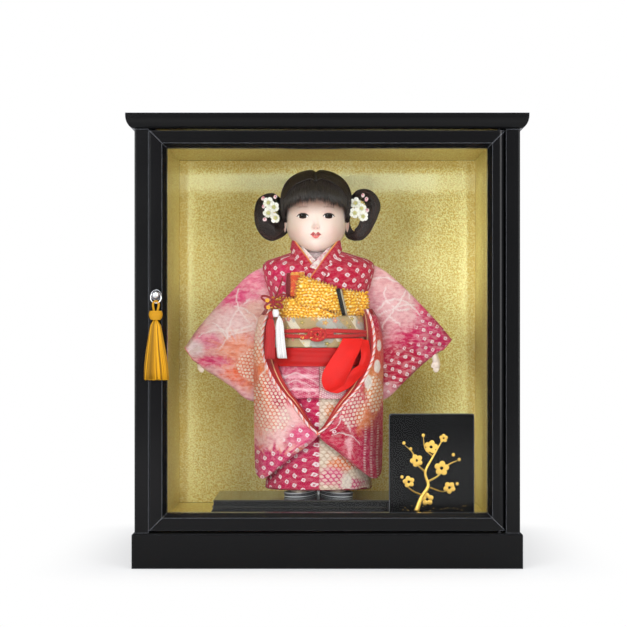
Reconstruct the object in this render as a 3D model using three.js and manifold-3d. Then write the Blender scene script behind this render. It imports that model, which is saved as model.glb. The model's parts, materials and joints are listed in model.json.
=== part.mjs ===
// A girl doll in a long-sleeved kimono, standing on a lacquered platform in its own
// gold-lined display case with a glass door. Millimetres, +Z up, front towards -Y.
import * as THREE from "three";
import { mergeVertices } from "three/addons/utils/BufferGeometryUtils.js";
import Module from "manifold-3d";

const wasm = await Module();
wasm.setup();

// Clearances
const seat_gap = 0.3; // between pieces that are glued together or rest on each other
const run_gap = 0.35; // round a pin, barrel or neck that turns
const cloth_gap = 0.5; // between layers of clothing
const head_gap = 1.4; // round the head, which turns above the collars
const cut_overrun = 6; // how far a cutting shape runs past what it cuts
const merge_distance = 0.001;
const round_steps = 20; // sides of a full circle

// Case boards
const case_depth = 284;
const side_board_thickness = 18;
const case_head_room = 25.6; // between the doll's hair and the ceiling
const sleeve_room = 21.4; // between the sleeves' reach and the side boards
const board_edge_radius = 1.6;
const plinth_height = 35;
const plinth_overhang = 2.5;
const plinth_board_thickness = 18;
const plinth_edge_radius = 2;
const bottom_board_thickness = 12;
const top_board_thickness = 15;
const cornice_overhang = 8.2;
const cornice_lip = 2.4;
const back_panel_thickness = 8;
const back_panel_recess = 5;
const lining_thickness = 0.7;

// Door
const door_thickness = 20;
const door_side_gap = 0.7;
const door_top_gap = 1.5;
const door_bottom_gap = 2.6;
const door_back_gap = 2;
const door_rebate = 3.8; // cut out of each side board to take the door
const stile_width = 17.2;
const stile_flat = 12.8;
const bevel_depth = 6;
const door_edge_radius = 0.9;
const mitre_gap = 0.25;
const glass_seat_depth = 9; // from the door's front face
const glass_seat_width = 4.3;
const glass_thickness = 2.5;
const glass_edge_gap = 0.5;
const bead_thickness = 5;
const bead_width = 3.6;
const pivot_inset = 5.5; // pivot axis from the door's front face and from its hinge edge
const pivot_pin_radius = 2;
const pivot_pin_in_door = 12;
const pivot_pin_in_case = 7;

// Turn catch on the free stile, with its ring and tassel
const lock_height_share = 0.58872; // of the door's height, to the catch's axis
const lock_inset = 7.1; // catch axis from the door's free edge
const barrel_radius = 4.4;
const rosette_radius = 5.6;
const rosette_thickness = 1.6;
const spindle_radius = 2.4;
const spindle_tail_radius = 1.2;
const knob_neck_radius = 1.6;
const knob_neck_length = 4;
const knob_radius = 3.4;
const knob_length = 5;
const lock_nut_radius = 6;
const lock_nut_thickness = 1.5;
const cam_set_back = 6.3; // from the door's back face
const cam_thickness = 1.6;
const cam_length = 11.5;
const cam_width = 4.4;
const cam_slot_width = 5;
const cam_slot_clearance = 1.2;
const ring_radius = 5.2;
const ring_wire_radius = 0.7;
const tassel_cord_radius = 0.9;
const tassel_cord_spread = 3.4;
const tassel_cord_drop = 9.6;
const tassel_head_radius = 6.3;
const tassel_head_height = 7.5;
const tassel_length = 68;
const tassel_foot_radius = 12.4;
const tassel_half_depth = 4.6;
const tassel_tuft_depth = 0.5; // furrows between the yarn tufts

// Platform, name plate and stand rod
const platform_width = 242;
const platform_depth = 107;
const platform_height = 21.3;
const platform_moulding = 6;
const platform_set_back = 94; // its front edge behind the door's front face
const platform_shift = -5; // from the case's middle
const plate_width = 88;
const plate_height = 116;
const plate_thickness = 5;
const plate_corner_radius = 2;
const plate_shift = 107.6;
const plate_set_back = 48;
const strut_width = 26;
const strut_height = 74;
const strut_depth = 27;
const strut_thickness = 3;
const rod_radius = 2.5;
const rod_rise = 22; // of the rod's top above the doll's crotch, in its own length
const rod_seat = 9; // how far the rod goes down into the platform
const rod_set_back = 9; // behind the doll's axis

// Doll: places
const doll_shift = -9.6; // the doll's axis from the case's middle
const doll_set_back = 148; // the doll's axis behind the door's front face
const head_shift = -2.6; // the neck's axis from the doll's axis
const head_turn_share = 0.0555556; // of a full turn, to each side

// Doll: body
const chest_height = 65.6; // from the obi's top to the top of the shoulders' neck hole
const body_chest_width = 70;
const body_chest_depth = 48;
const crotch_drop = 11.4; // below the waist fold's lower edge
const leg_radius = 15;
const ankle_radius = 9;
const leg_spacing = 42;
const foot_length = 52;
const foot_width = 23;
const foot_height = 15;
const neck_radius = 10.5;
const neck_plug_radius = 8;
const neck_plug_length = 22;
const arm_reach = 134; // from the doll's axis to the wrist
const arm_radius = 5;
const wrist_radius = 4.4;
const hand_length = 21;
const hand_width = 9;
const hand_thickness = 6;
const hand_palm_share = 0.26; // half the palm's length, of the hand's length
const finger_radius = 1.5;
const sandal_thickness = 5;
const sandal_length = 60;
const sandal_width = 33;
const sandal_turn_share = 0.055; // of a full turn, toes outwards

// Doll: head
const head_height = 86;
const head_width = 65;
const face_depth = 35;
const skull_depth = 33;
const chin_rise = 3.5; // of the chin above the body's neck hole
const nose_length = 4.2;
const nose_radius = 5.2;
const cheek_swell = 2.2;
const lip_swell = 1.3;
const ear_height = 17;
const ear_width = 5;
const ear_depth = 9;
const hair_thickness = 6.4;
const hair_crown_thickness = 4.5;
const hair_back_thickness = 7.4;
const bangs_rise = 17; // of the bangs' lower edge above the side locks' lower edge
const bangs_drop = 6; // their corners below their middle
const nape_rise = 20.5; // of the hair's lower edge behind, above the chin
const side_hair_rise = 16; // of the side locks' lower edge above that
const face_opening_width = 59;
const parting_depth = 2.4;
const parting_width = 5;
const bun_length = 52; // of the looped bunches beside the head
const bun_width = 36;
const bun_radius = 9.2;
const bun_set_back = 3; // bunch's middle behind the neck's axis
const bun_thin_radius = 5;
const bun_rise = 41.5; // of the bunch's middle above the chin
const bun_reach = 52; // bunch's middle from the neck's axis
const bun_thick_share = 0.12; // where the loop is thickest, along it from its outer side
const blossom_radius = 8.6;
const blossom_thickness = 2;
const blossom_rise = 48.5; // of the blossoms' middle above the chin
const blossom_reach = 48;

// Doll: clothes
const skirt_length = 97.8; // below the waist fold
const waist_fold_height = 34.4;
const sash_height = 20.2;
const obi_height = 34.4;
const obi_half_width = 49;
const obi_front = 40;
const obi_back = 34;
const obi_thickness = 3.4;
const kimono_thickness = 3;
const shoulder_drop = 4; // below the body's neck hole
const shoulder_half_width = 61;
const collar_rise = 14; // above the body's neck hole
const collar_half_width = 24.8;
const collar_width = 13;
const collar_thickness = 2.4;
const collar_cross_drop = 9; // of the collars' crossing below the shoulders
const inner_collar_width = 7;
const inner_collar_thickness = 1.8;
const skirt_bottom = 9.6;
const skirt_half_width = 58;
const skirt_front = 38;
const skirt_back = 34;
const skirt_overlap_step = 1.4;
const skirt_fold_depth = 1.5;
const sleeve_reach = 144; // from the doll's axis to the cuff
const sleeve_thickness = 13;
const sleeve_fold_depth = 1.6;
const drop_rise = 11.4; // of the drops' lowest corner above the skirt's hem
const drop_overlap = 7.6; // of the drops' upper end above the obi's top
const drop_half_width = 70;
const drop_front = 47;
const drop_side_front = 2.6; // where the outer edge meets the sleeve, before the doll's axis
const drop_thickness = 6;
const drop_tip_rise = 46.5; // of the inner tips above the lowest corner
const drop_tip_gap = 1;
const drop_top_inner = 47;
const drop_corner_inner = 58;
const drop_fold_depth = 1.2;
const obiage_rise = 41.6; // of the scarf's peak above the obi
const obiage_half_width = 46;
const obiage_thickness = 5;
const obiage_fold_depth = 0.7;
const obijime_radius = 2.4;
const obijime_rise = 15; // of the cord's middle above the obi's lower edge
const obijime_spacing = 4.4;
const obijime_knot_radius = 8.2;
const ribbon_width = 23;
const ribbon_thickness = 1.8;
const ribbon_rise = 6; // of the ribbon's upper end above the obi's lower edge
const ribbon_foot_rise = 6.6; // of its fold above the waist fold's lower edge
// Along the ribbon's two layers: place across and up the ribbon, and lift off the obi.
const ribbon_front_shares = [
  [1.62, 0.98, 2],
  [1.3, 0.66, 3.4],
  [0.84, 0.34, 4.2],
  [0.66, 0.16, 3.8],
];
const ribbon_return_shares = [
  [0.74, 0.14, 3],
  [1.2, 0.24, 1.6],
  [1.72, 0.5, 0.4],
  [1.86, 0.8, -0.6],
];
const bow_width = 74;
const bow_height = 66;
const bow_depth = 16;
const pouch_width = 21;
const pouch_height = 27;
const pouch_thickness = 3.6;
const fan_width = 6;
const fan_height = 33;
const fan_thickness = 2.6;
const fan_place_share = 0.6; // of the obiage's half width, at the fan's foot
const fan_lean_share = 0.047; // of a full turn, inwards
const fan_tuck_share = 0.75;
const pouch_tassel_length = 44;
const pouch_tassel_radius = 6;
const pouch_knot_radius = 3.6;
const pouch_bow_radius = 7;
const pouch_cord_radius = 1.2;

// Places that follow from the sizes above
const front_reach = rosette_thickness + knob_neck_length + knob_length;
const front = front_reach - (case_depth + front_reach) / 2; // the door's front face
const back = front + case_depth;
const inner_half = sleeve_reach + Math.abs(doll_shift) + sleeve_room;
const case_half = inner_half + side_board_thickness;
const rebate_half = inner_half + door_rebate;
const lining_half = inner_half - seat_gap - lining_thickness;
const board_bottom = plinth_height + seat_gap;
const floor_top = plinth_height + seat_gap + lining_thickness;
const platform_bottom = floor_top + seat_gap;
const platform_top = platform_bottom + platform_height;
const sole_height = platform_top + seat_gap;

const waist_fold_bottom = skirt_bottom + skirt_length;
const sash_bottom = waist_fold_bottom + waist_fold_height;
const obi_bottom = sash_bottom + sash_height;
const obi_top = obi_bottom + obi_height;
const body_height = obi_top + chest_height;
const crotch_height = waist_fold_bottom - crotch_drop;
const rod_length = crotch_height + rod_rise;
const shoulder_height = body_height - shoulder_drop;
const collar_top = body_height + collar_rise;
const collar_cross_height = shoulder_height - collar_cross_drop;
const drop_bottom = skirt_bottom + drop_rise;
const drop_top = obi_top + drop_overlap;
const drop_tip_height = drop_bottom + drop_tip_rise;
const obiage_peak = obi_top + obiage_rise;
const obijime_height = obi_bottom + obijime_rise;
const ribbon_top = obi_bottom + ribbon_rise;
const ribbon_bottom = waist_fold_bottom + ribbon_foot_rise;
const chin_height = body_height + chin_rise;
const crown_height = chin_height + head_height + hair_crown_thickness;
const nape_height = chin_height + nape_rise;
const side_hair_height = nape_height + side_hair_rise;
const bangs_height = side_hair_height + bangs_rise;
const bun_height = chin_height + bun_rise;
const blossom_height = chin_height + blossom_rise;
const head_turn = head_turn_share * 2 * Math.PI;

const ceiling = sole_height + crown_height + case_head_room;
const side_board_height = ceiling - board_bottom;
const top_board_bottom = ceiling + seat_gap;
const top_board_top = top_board_bottom + top_board_thickness;
const interior_front = front + door_thickness + door_back_gap;
const back_panel_back = back - back_panel_recess;
const back_panel_front = back_panel_back - back_panel_thickness;
const lining_back = back_panel_front - seat_gap;
const lining_front_edge = interior_front + seat_gap;
const plinth_half = case_half + plinth_overhang;
const door_half = rebate_half - door_side_gap;
const door_bottom = plinth_height + door_bottom_gap;
const door_top = top_board_bottom - door_top_gap;
const door_back = front + door_thickness;
const lock_x = lock_inset - door_half;
const lock_height = door_bottom + (door_top - door_bottom) * lock_height_share;
const cam_front = door_back + cam_set_back;
const pivot_x = door_half - pivot_inset;
const pivot_y = front + pivot_inset;
const doll_y = front + doll_set_back;

// Geometry helpers

const vec = (x, y, z) => new THREE.Vector3(x, y, z);
const up_axis = vec(0, 0, 1);

function solid(geometry) {
  const bare = geometry.index ? geometry.toNonIndexed() : geometry.clone();
  bare.deleteAttribute("normal");
  bare.deleteAttribute("uv");
  const merged = mergeVertices(bare, merge_distance);
  return new wasm.Manifold(
    new wasm.Mesh({
      numProp: 3,
      vertProperties: merged.attributes.position.array,
      triVerts: new Uint32Array(merged.index.array),
    }),
  );
}

function geometryOf(body) {
  const made = body.getMesh();
  const stride = made.numProp;
  const positions = new Float32Array(made.numVert * 3);
  for (let i = 0; i < made.numVert; i++) {
    positions.set(made.vertProperties.subarray(i * stride, i * stride + 3), i * 3);
  }
  const geometry = new THREE.BufferGeometry();
  geometry.setAttribute("position", new THREE.BufferAttribute(positions, 3));
  geometry.setIndex(new THREE.BufferAttribute(made.triVerts, 1));
  geometry.computeVertexNormals();
  return geometry;
}

const join = (body, ...others) => others.reduce((sum, other) => sum.add(other), body);
const cut = (body, ...tools) => tools.reduce((rest, tool) => rest.subtract(tool), body);
const mix = THREE.MathUtils.lerp;
const bell = (x, spread) => Math.exp(-((x / spread) ** 2));

function block(x0, x1, y0, y1, z0, z1) {
  const box = new THREE.BoxGeometry(x1 - x0, y1 - y0, z1 - z0);
  return solid(box.translate((x0 + x1) / 2, (y0 + y1) / 2, (z0 + z1) / 2));
}

function extrusion(points, length) {
  const outline = new THREE.Shape(points.map(([u, v]) => new THREE.Vector2(u, v)));
  return new THREE.ExtrudeGeometry(outline, { depth: length, bevelEnabled: false });
}

// Prisms along each axis: the outline's two numbers are the other two axes in their order.
function prismX(points, x0, x1) {
  const turn = new THREE.Matrix4().set(0, 0, 1, x0, 1, 0, 0, 0, 0, 1, 0, 0, 0, 0, 0, 1);
  return solid(extrusion(points, x1 - x0).applyMatrix4(turn));
}

function prismY(points, y0, y1) {
  const turn = new THREE.Matrix4().set(1, 0, 0, 0, 0, 0, -1, y1, 0, 1, 0, 0, 0, 0, 0, 1);
  return solid(extrusion(points, y1 - y0).applyMatrix4(turn));
}

function prismZ(points, z0, z1) {
  return solid(extrusion(points, z1 - z0).translate(0, 0, z0));
}

function roundY(radius, x, z, y0, y1, sides = round_steps) {
  const rod = new THREE.CylinderGeometry(radius, radius, y1 - y0, sides);
  return solid(rod.translate(x, (y0 + y1) / 2, z));
}

function roundZ(radius, x, y, z0, z1, sides = round_steps) {
  const rod = new THREE.CylinderGeometry(radius, radius, z1 - z0, sides).rotateX(Math.PI / 2);
  return solid(rod.translate(x, y, (z0 + z1) / 2));
}

function ball(x, y, z, rx, ry, rz, sides = 12) {
  const sphere = new THREE.SphereGeometry(1, sides, Math.ceil(sides / 2) + 1);
  return solid(sphere.scale(rx, ry, rz).translate(x, y, z));
}

// A quarter round as outline points, from one angle to another in quarter turns.
function quarter(cx, cy, radius, from, steps = 4) {
  return Array.from({ length: steps + 1 }, (_, i) => {
    const angle = ((from + i / steps) * Math.PI) / 2;
    return [cx + radius * Math.cos(angle), cy + radius * Math.sin(angle)];
  });
}

// A closed skin through rings of equal count. Each ring's first half faces its second half,
// so the ends close with a strip between the halves. A looped stack has no ends.
function skin(rings, looped = false) {
  const count = rings[0].length;
  const index = [];
  const quad = (a, b, c, d) => index.push(a, b, c, a, c, d);
  const last = rings.length - 1;
  for (let r = 0; r < rings.length; r++) {
    if (r === last && !looped) break;
    const next = (r + 1) % rings.length;
    for (let i = 0; i < count; i++) {
      const j = (i + 1) % count;
      quad(r * count + i, r * count + j, next * count + j, next * count + i);
    }
  }
  for (let i = 0; i < count / 2 - 1 && !looped; i++) {
    const far = count - 1 - i;
    const top = last * count;
    quad(i, far, far - 1, i + 1);
    quad(top + i, top + i + 1, top + far - 1, top + far);
  }
  const build = (order) => {
    const geometry = new THREE.BufferGeometry();
    const positions = rings.flat().flatMap((p) => p.toArray());
    geometry.setAttribute("position", new THREE.Float32BufferAttribute(positions, 3));
    geometry.setIndex(order);
    return solid(geometry);
  };
  const made = build(index);
  return made.volume() > 0 ? made : build(index.reverse());
}

// A smooth run of values through rows of shares, by their order.
function smooth(rows) {
  const first = new THREE.CatmullRomCurve3(rows.map(([a, b]) => new THREE.Vector3(a, b, 0)));
  const rest = new THREE.CatmullRomCurve3(
    rows.map(([, , c = 0, d = 0]) => new THREE.Vector3(c, d, 0)),
  );
  return (t) => {
    const p = first.getPoint(t);
    const q = rest.getPoint(t);
    return [p.x, p.y, q.x, q.y];
  };
}

// A standing form whose rows are shares of its height, half width, front and back depth.
function tower(form, grow = 0, extend = grow) {
  const { rows, base, height, half, fore, aft, x = 0, y = 0, square = 2 } = form;
  const { steps = 12, sides = 24, warp = (p) => p, turn = 0 } = form;
  const at = smooth(rows);
  const rings = [];
  for (let s = 0; s <= steps; s++) {
    const t = s / steps;
    const [up, wide, ahead, behind] = at(t);
    const stretch = s === 0 ? -extend : s === steps ? extend : 0;
    const ring = [];
    for (let i = 0; i < sides; i++) {
      const angle = (2 * Math.PI * (i + 0.5)) / sides;
      const c = Math.cos(angle);
      const d = Math.sin(angle);
      const depth = d < 0 ? ahead * fore + grow : behind * aft + grow;
      const px = Math.sign(c) * Math.abs(c) ** (2 / square) * (wide * half + grow);
      const py = Math.sign(d) * Math.abs(d) ** (2 / square) * depth;
      const point = new THREE.Vector3(px, py, base + up * height + stretch);
      ring.push(warp(point, t, angle).applyAxisAngle(up_axis, turn).add(vec(x, y, 0)));
    }
    rings.push(ring);
  }
  return skin(rings);
}

// How far in front of the axis a standing form's surface lies at a place across it.
function frontOf(form, px, pz) {
  const at = smooth(form.rows);
  const target = (pz - form.base) / form.height;
  let low = 0;
  let high = 1;
  for (let i = 0; i < 24; i++) {
    const mid = (low + high) / 2;
    if (at(mid)[0] < target) low = mid;
    else high = mid;
  }
  const [, wide, ahead] = at(low);
  const across = Math.min(1, Math.abs(px - (form.x ?? 0)) / (wide * form.half));
  const square = form.square ?? 2;
  return ahead * form.fore * (1 - across ** square) ** (1 / square);
}

// A piece of cloth laid over a surface: rows of the height, its left and its right edge.
function wrap({ rows, steps, columns, lift, thickness, depthAt, ripple = () => 0 }) {
  const at = smooth(rows);
  const rings = [];
  for (let s = 0; s <= steps; s++) {
    const t = s / steps;
    const [z, left, right] = at(t);
    const outer = [];
    const inner = [];
    for (let i = 0; i <= columns; i++) {
      const u = i / columns;
      const x = mix(left, right, u);
      const edge = Math.min(1, Math.sin(Math.PI * mix(0.12, 0.88, u)) * 1.6);
      const near = depthAt(x, z, u) + lift;
      outer.push(new THREE.Vector3(x, -near - thickness * edge - ripple(u, t, x, z), z));
      inner.push(new THREE.Vector3(x, -near, z));
    }
    rings.push([...outer, ...inner.reverse()]);
  }
  return skin(rings);
}

// A flat band swept along a smooth path, lying against outward directions.
function band(path, steps, width, thickness, outwardAt) {
  const curve = new THREE.CatmullRomCurve3(path);
  const rings = [];
  for (let s = 0; s <= steps; s++) {
    const t = s / steps;
    const centre = curve.getPoint(t);
    const along = curve.getTangent(t);
    const out = outwardAt(centre, t).normalize();
    const across = new THREE.Vector3().crossVectors(along, out).normalize();
    out.crossVectors(across, along).normalize();
    const corner = (u, v) =>
      centre
        .clone()
        .addScaledVector(across, (u * width) / 2)
        .addScaledVector(out, (v * thickness) / 2);
    const shares = [
      [-1, 0.4],
      [-0.8, 1],
      [0.8, 1],
      [1, 0.4],
      [1, -0.4],
      [0.8, -1],
      [-0.8, -1],
      [-1, -0.4],
    ];
    rings.push(shares.map(([u, v]) => corner(u, v)));
  }
  return skin(rings);
}

// A round cord of changing radius along a path, open or joined end to end.
function cord(path, steps, radiusAt, sides = 8, looped = false) {
  const curve = new THREE.CatmullRomCurve3(path, looped);
  const frames = curve.computeFrenetFrames(steps, looped);
  const rings = [];
  for (let s = 0; s < steps + (looped ? 0 : 1); s++) {
    const t = s / steps;
    const centre = curve.getPointAt(t);
    const ring = [];
    for (let i = 0; i < sides; i++) {
      const angle = (2 * Math.PI * (i + 0.5)) / sides;
      const offset = new THREE.Vector3()
        .addScaledVector(frames.normals[s], Math.cos(angle) * radiusAt(t))
        .addScaledVector(frames.binormals[s], Math.sin(angle) * radiusAt(t));
      ring.push(centre.clone().add(offset));
    }
    rings.push(ring);
  }
  return skin(rings, looped);
}

// Materials, from the photograph

const finish = (color, roughness, metalness = 0) =>
  new THREE.MeshStandardMaterial({ color, roughness, metalness });
const black_lacquer = finish(0x1c1c1e, 0.22);
const gold_paper = finish(0xb39a4c, 0.45, 0.6);
const clear_glass = finish(0xe8eeee, 0.05);
const chrome = finish(0xc9c9cc, 0.15, 1);
const steel = finish(0x8d8f92, 0.35, 1);
const brass = finish(0xb08d3f, 0.35, 1);
const gold_yarn = finish(0xd6a322, 0.7);
const porcelain_white = finish(0xf2d9cf, 0.4);
const black_hair = finish(0x1d1612, 0.5);
const white_petal = finish(0xf0eee2, 0.6);
const crimson_cloth = finish(0xc62a5c, 0.85);
const pink_cloth = finish(0xe58da8, 0.85);
const coral_cloth = finish(0xe2808a, 0.85);
const red_cloth = finish(0xd02a20, 0.8);
const scarlet_silk = finish(0xdf2a1c, 0.6);
const cream_cloth = finish(0xf1cf8a, 0.7);
const beige_brocade = finish(0xcdbf9a, 0.6);
const yellow_shibori = finish(0xe9b62c, 0.8);
const orange_brocade = finish(0xd8461b, 0.7);
const body_composition = finish(0xd9c6b4, 0.8);

const group = new THREE.Group();

function add(name, body, material, parent = group) {
  const mesh = new THREE.Mesh(geometryOf(body), material);
  mesh.name = name;
  parent.add(mesh);
}

// Case: plinth, boards and top

// Board outline seen along its length, with its outer top edge rounded. The outer side is
// towards the second value's end.
function plinthOutline(inner, outer) {
  const r = plinth_edge_radius;
  const out = Math.sign(outer - inner);
  const arc = quarter(0, 0, r, 0).map(([u, v]) => [outer - out * (r - u), plinth_height - r + v]);
  return [[inner, 0], [outer, 0], ...arc, [inner, plinth_height]];
}

function plinth() {
  const inside = plinth_half - plinth_board_thickness;
  const y0 = front - plinth_overhang;
  const y1 = back;
  const front_inner = y0 + plinth_board_thickness;
  const back_inner = y1 - plinth_board_thickness;
  const side = prismY(plinthOutline(inside, plinth_half), front_inner + seat_gap, y1);
  const other = prismY(plinthOutline(-inside, -plinth_half), front_inner + seat_gap, y1);
  const fore = prismX(plinthOutline(front_inner, y0), -plinth_half, plinth_half);
  const trim = prismY(
    [
      ...quarter(plinth_half - plinth_edge_radius, plinth_height - plinth_edge_radius,
        plinth_edge_radius, 0),
      ...quarter(plinth_edge_radius - plinth_half, plinth_height - plinth_edge_radius,
        plinth_edge_radius, 1),
      [-plinth_half, 0],
      [plinth_half, 0],
    ],
    y0 - cut_overrun,
    y1,
  );
  const pin_hole = roundZ(pivot_pin_radius + run_gap, pivot_x, pivot_y,
    door_bottom - door_bottom_gap - pivot_pin_in_case, plinth_height + cut_overrun, 12);
  add("plinth_front", cut(fore.intersect(trim), pin_hole), black_lacquer);
  add("plinth_right", side, black_lacquer);
  add("plinth_left", other, black_lacquer);
  add("plinth_back", block(seat_gap - inside, inside - seat_gap, back_inner, y1, 0,
    plinth_height - bottom_board_thickness - seat_gap), black_lacquer);
  add("bottom_board", block(seat_gap - inside, inside - seat_gap, front_inner + seat_gap,
    y1, plinth_height - bottom_board_thickness, plinth_height), black_lacquer);
}

// One side board seen from above: front edge rounded outside, rebated inside for the door.
function sideBoard(sign) {
  const r = board_edge_radius;
  const shoulder = interior_front;
  const arc = quarter(case_half - r, front + r, r, -1).map(([x, y]) => [x, y]);
  const outline = [
    [rebate_half, front],
    ...arc,
    [case_half, back],
    [inner_half, back],
    [inner_half, shoulder],
    [rebate_half, shoulder],
  ];
  return prismZ(outline.map(([x, y]) => [sign * x, y]), board_bottom, ceiling);
}

function boards() {
  const slot_top = lock_height + cam_width / 2 + cam_slot_clearance;
  const slot_bottom = lock_height - cam_length - cam_slot_clearance;
  const slot_y = cam_front + (cam_thickness - cam_slot_width) / 2;
  const slot_x = lock_x - cam_length - cam_slot_clearance;
  const slot = block(slot_x, cut_overrun - inner_half, slot_y, slot_y + cam_slot_width,
    slot_bottom, slot_top);
  add("side_board_left", cut(sideBoard(-1), slot), black_lacquer);
  add("side_board_right", sideBoard(1), black_lacquer);
  add("back_panel", block(seat_gap - inner_half, inner_half - seat_gap, back_panel_front,
    back_panel_back, board_bottom, ceiling), black_lacquer);
  const side = (sign) => {
    const inner = sign * lining_half;
    const outer = sign * (lining_half + lining_thickness);
    return block(Math.min(inner, outer), Math.max(inner, outer), lining_front_edge,
      lining_back - lining_thickness - seat_gap, floor_top + seat_gap,
      ceiling - lining_thickness - seat_gap);
  };
  add("gold_lining_left", cut(side(-1), slot), gold_paper);
  add("gold_lining_right", side(1), gold_paper);
  add("gold_lining_back", block(-lining_half, lining_half, lining_back - lining_thickness,
    lining_back, floor_top + seat_gap, ceiling - lining_thickness - seat_gap), gold_paper);
  add("gold_lining_floor", block(seat_gap - inner_half, inner_half - seat_gap,
    lining_front_edge, lining_back, plinth_height + seat_gap, floor_top), gold_paper);
  add("gold_lining_ceiling", block(seat_gap - inner_half, inner_half - seat_gap,
    lining_front_edge, lining_back, ceiling - lining_thickness, ceiling), gold_paper);
}

// The top board's moulding bulges outwards like a hull up to a thin square lip.
function corniceHalf(reach) {
  const rise = top_board_thickness - cornice_lip;
  const steps = 8;
  const curve = Array.from({ length: steps + 1 }, (_, i) => {
    const angle = (i / steps) * (Math.PI / 2);
    return [
      reach + cornice_overhang * Math.sin(angle),
      top_board_bottom + rise * (1 - Math.cos(angle)),
    ];
  });
  return [...curve, [reach + cornice_overhang, top_board_top]];
}

function topBoard() {
  const right = corniceHalf(case_half);
  const across = prismY([...right, ...right.map(([x, z]) => [-x, z]).reverse()],
    front - cornice_overhang - cut_overrun, back);
  const ahead = corniceHalf(0).map(([out, z]) => [front - out, z]);
  const along = prismX([...ahead, [back, top_board_top], [back, top_board_bottom]],
    -case_half - cornice_overhang - cut_overrun, case_half + cornice_overhang + cut_overrun);
  const pin_hole = roundZ(pivot_pin_radius + run_gap, pivot_x, pivot_y,
    top_board_bottom - cut_overrun, door_top + door_top_gap + pivot_pin_in_case, 12);
  add("top_board", cut(across.intersect(along), pin_hole), black_lacquer);
}

// Door

// Frame section: outwards from the glass to the door's edge, and back from its front face.
function frameSection(edge_radius) {
  const r = edge_radius;
  return [
    ...quarter(r, r, r, 2, 5),
    [stile_flat, 0],
    [stile_width, bevel_depth],
    [stile_width, glass_seat_depth],
    [stile_width - glass_seat_width, glass_seat_depth],
    [stile_width - glass_seat_width, door_thickness],
    [0, door_thickness],
  ];
}

// A frame piece's face seen from the front, mitred at both ends.
function mitre(half_length, width) {
  const g = mitre_gap / 2;
  return [
    [g - half_length, 0],
    [half_length - g, 0],
    [half_length - width - g, width],
    [width + g - half_length, width],
  ];
}

function doorFrame(door) {
  const middle = (door_bottom + door_top) / 2;
  const half_height = (door_top - door_bottom) / 2;
  const y0 = front - cut_overrun;
  const y1 = door_back + cut_overrun;
  const stile = (sign, radius) => {
    const section = frameSection(radius).map(([u, w]) => [sign * (door_half - u), front + w]);
    const outline = mitre(half_height, stile_width).map(([l, u]) => [
      sign * (door_half - u),
      middle + l,
    ]);
    return prismZ(section, door_bottom, door_top).intersect(prismY(outline, y0, y1));
  };
  // The hinge edge is round about the pivot, so that it clears the side board as it turns.
  const swing = prismZ([
    ...quarter(pivot_x, pivot_y, pivot_inset, 3),
    [door_half, door_back],
    [-door_half, door_back],
    [-door_half, front],
  ], door_bottom, door_top);
  const rail = (sign) => {
    const edge = middle + sign * half_height;
    const section = frameSection(door_edge_radius).map(([u, w]) => [front + w, edge - sign * u]);
    const outline = mitre(door_half, stile_width).map(([l, u]) => [l, edge - sign * u]);
    return prismX(section, -door_half, door_half).intersect(prismY(outline, y0, y1))
      .intersect(swing);
  };
  const pin_gap = pivot_pin_radius + seat_gap;
  const pin_bore = (z0, z1) => roundZ(pin_gap, pivot_x, pivot_y, z0, z1, 12);
  add("door_stile_left", cut(stile(-1, door_edge_radius),
    roundY(barrel_radius + seat_gap, lock_x, lock_height, y0, y1)), black_lacquer, door);
  add("door_stile_right", cut(stile(1, pivot_inset),
    pin_bore(door_bottom - cut_overrun, door_bottom + pivot_pin_in_door + seat_gap),
    pin_bore(door_top - pivot_pin_in_door - seat_gap, door_top + cut_overrun)),
    black_lacquer, door);
  add("door_rail_top", cut(rail(1),
    pin_bore(door_top - pivot_pin_in_door - seat_gap, door_top + cut_overrun)),
    black_lacquer, door);
  add("door_rail_bottom", cut(rail(-1),
    pin_bore(door_bottom - cut_overrun, door_bottom + pivot_pin_in_door + seat_gap)),
    black_lacquer, door);
}

function doorGlass(door) {
  const rim = stile_width - glass_seat_width + glass_edge_gap;
  const x = door_half - rim;
  const z0 = door_bottom + rim;
  const z1 = door_top - rim;
  const y = front + glass_seat_depth + seat_gap;
  add("door_glass", block(-x, x, y, y + glass_thickness, z0, z1), clear_glass, door);
  const bead_y = y + glass_thickness + seat_gap;
  const outer = block(-x, x, bead_y, bead_y + bead_thickness, z0, z1);
  const w = bead_width;
  const inner = block(w - x, x - w, bead_y - cut_overrun, bead_y + bead_thickness + cut_overrun,
    z0 + w, z1 - w);
  add("glazing_bead", cut(outer, inner), black_lacquer, door);
}

function doorPins(door) {
  const pin = (z0, z1) => roundZ(pivot_pin_radius, pivot_x, pivot_y, z0, z1, 12);
  add("pivot_pin_bottom", pin(plinth_height - pivot_pin_in_case + seat_gap,
    door_bottom + pivot_pin_in_door), steel, door);
  add("pivot_pin_top", pin(door_top - pivot_pin_in_door,
    top_board_bottom + pivot_pin_in_case - seat_gap), steel, door);
}

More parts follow.
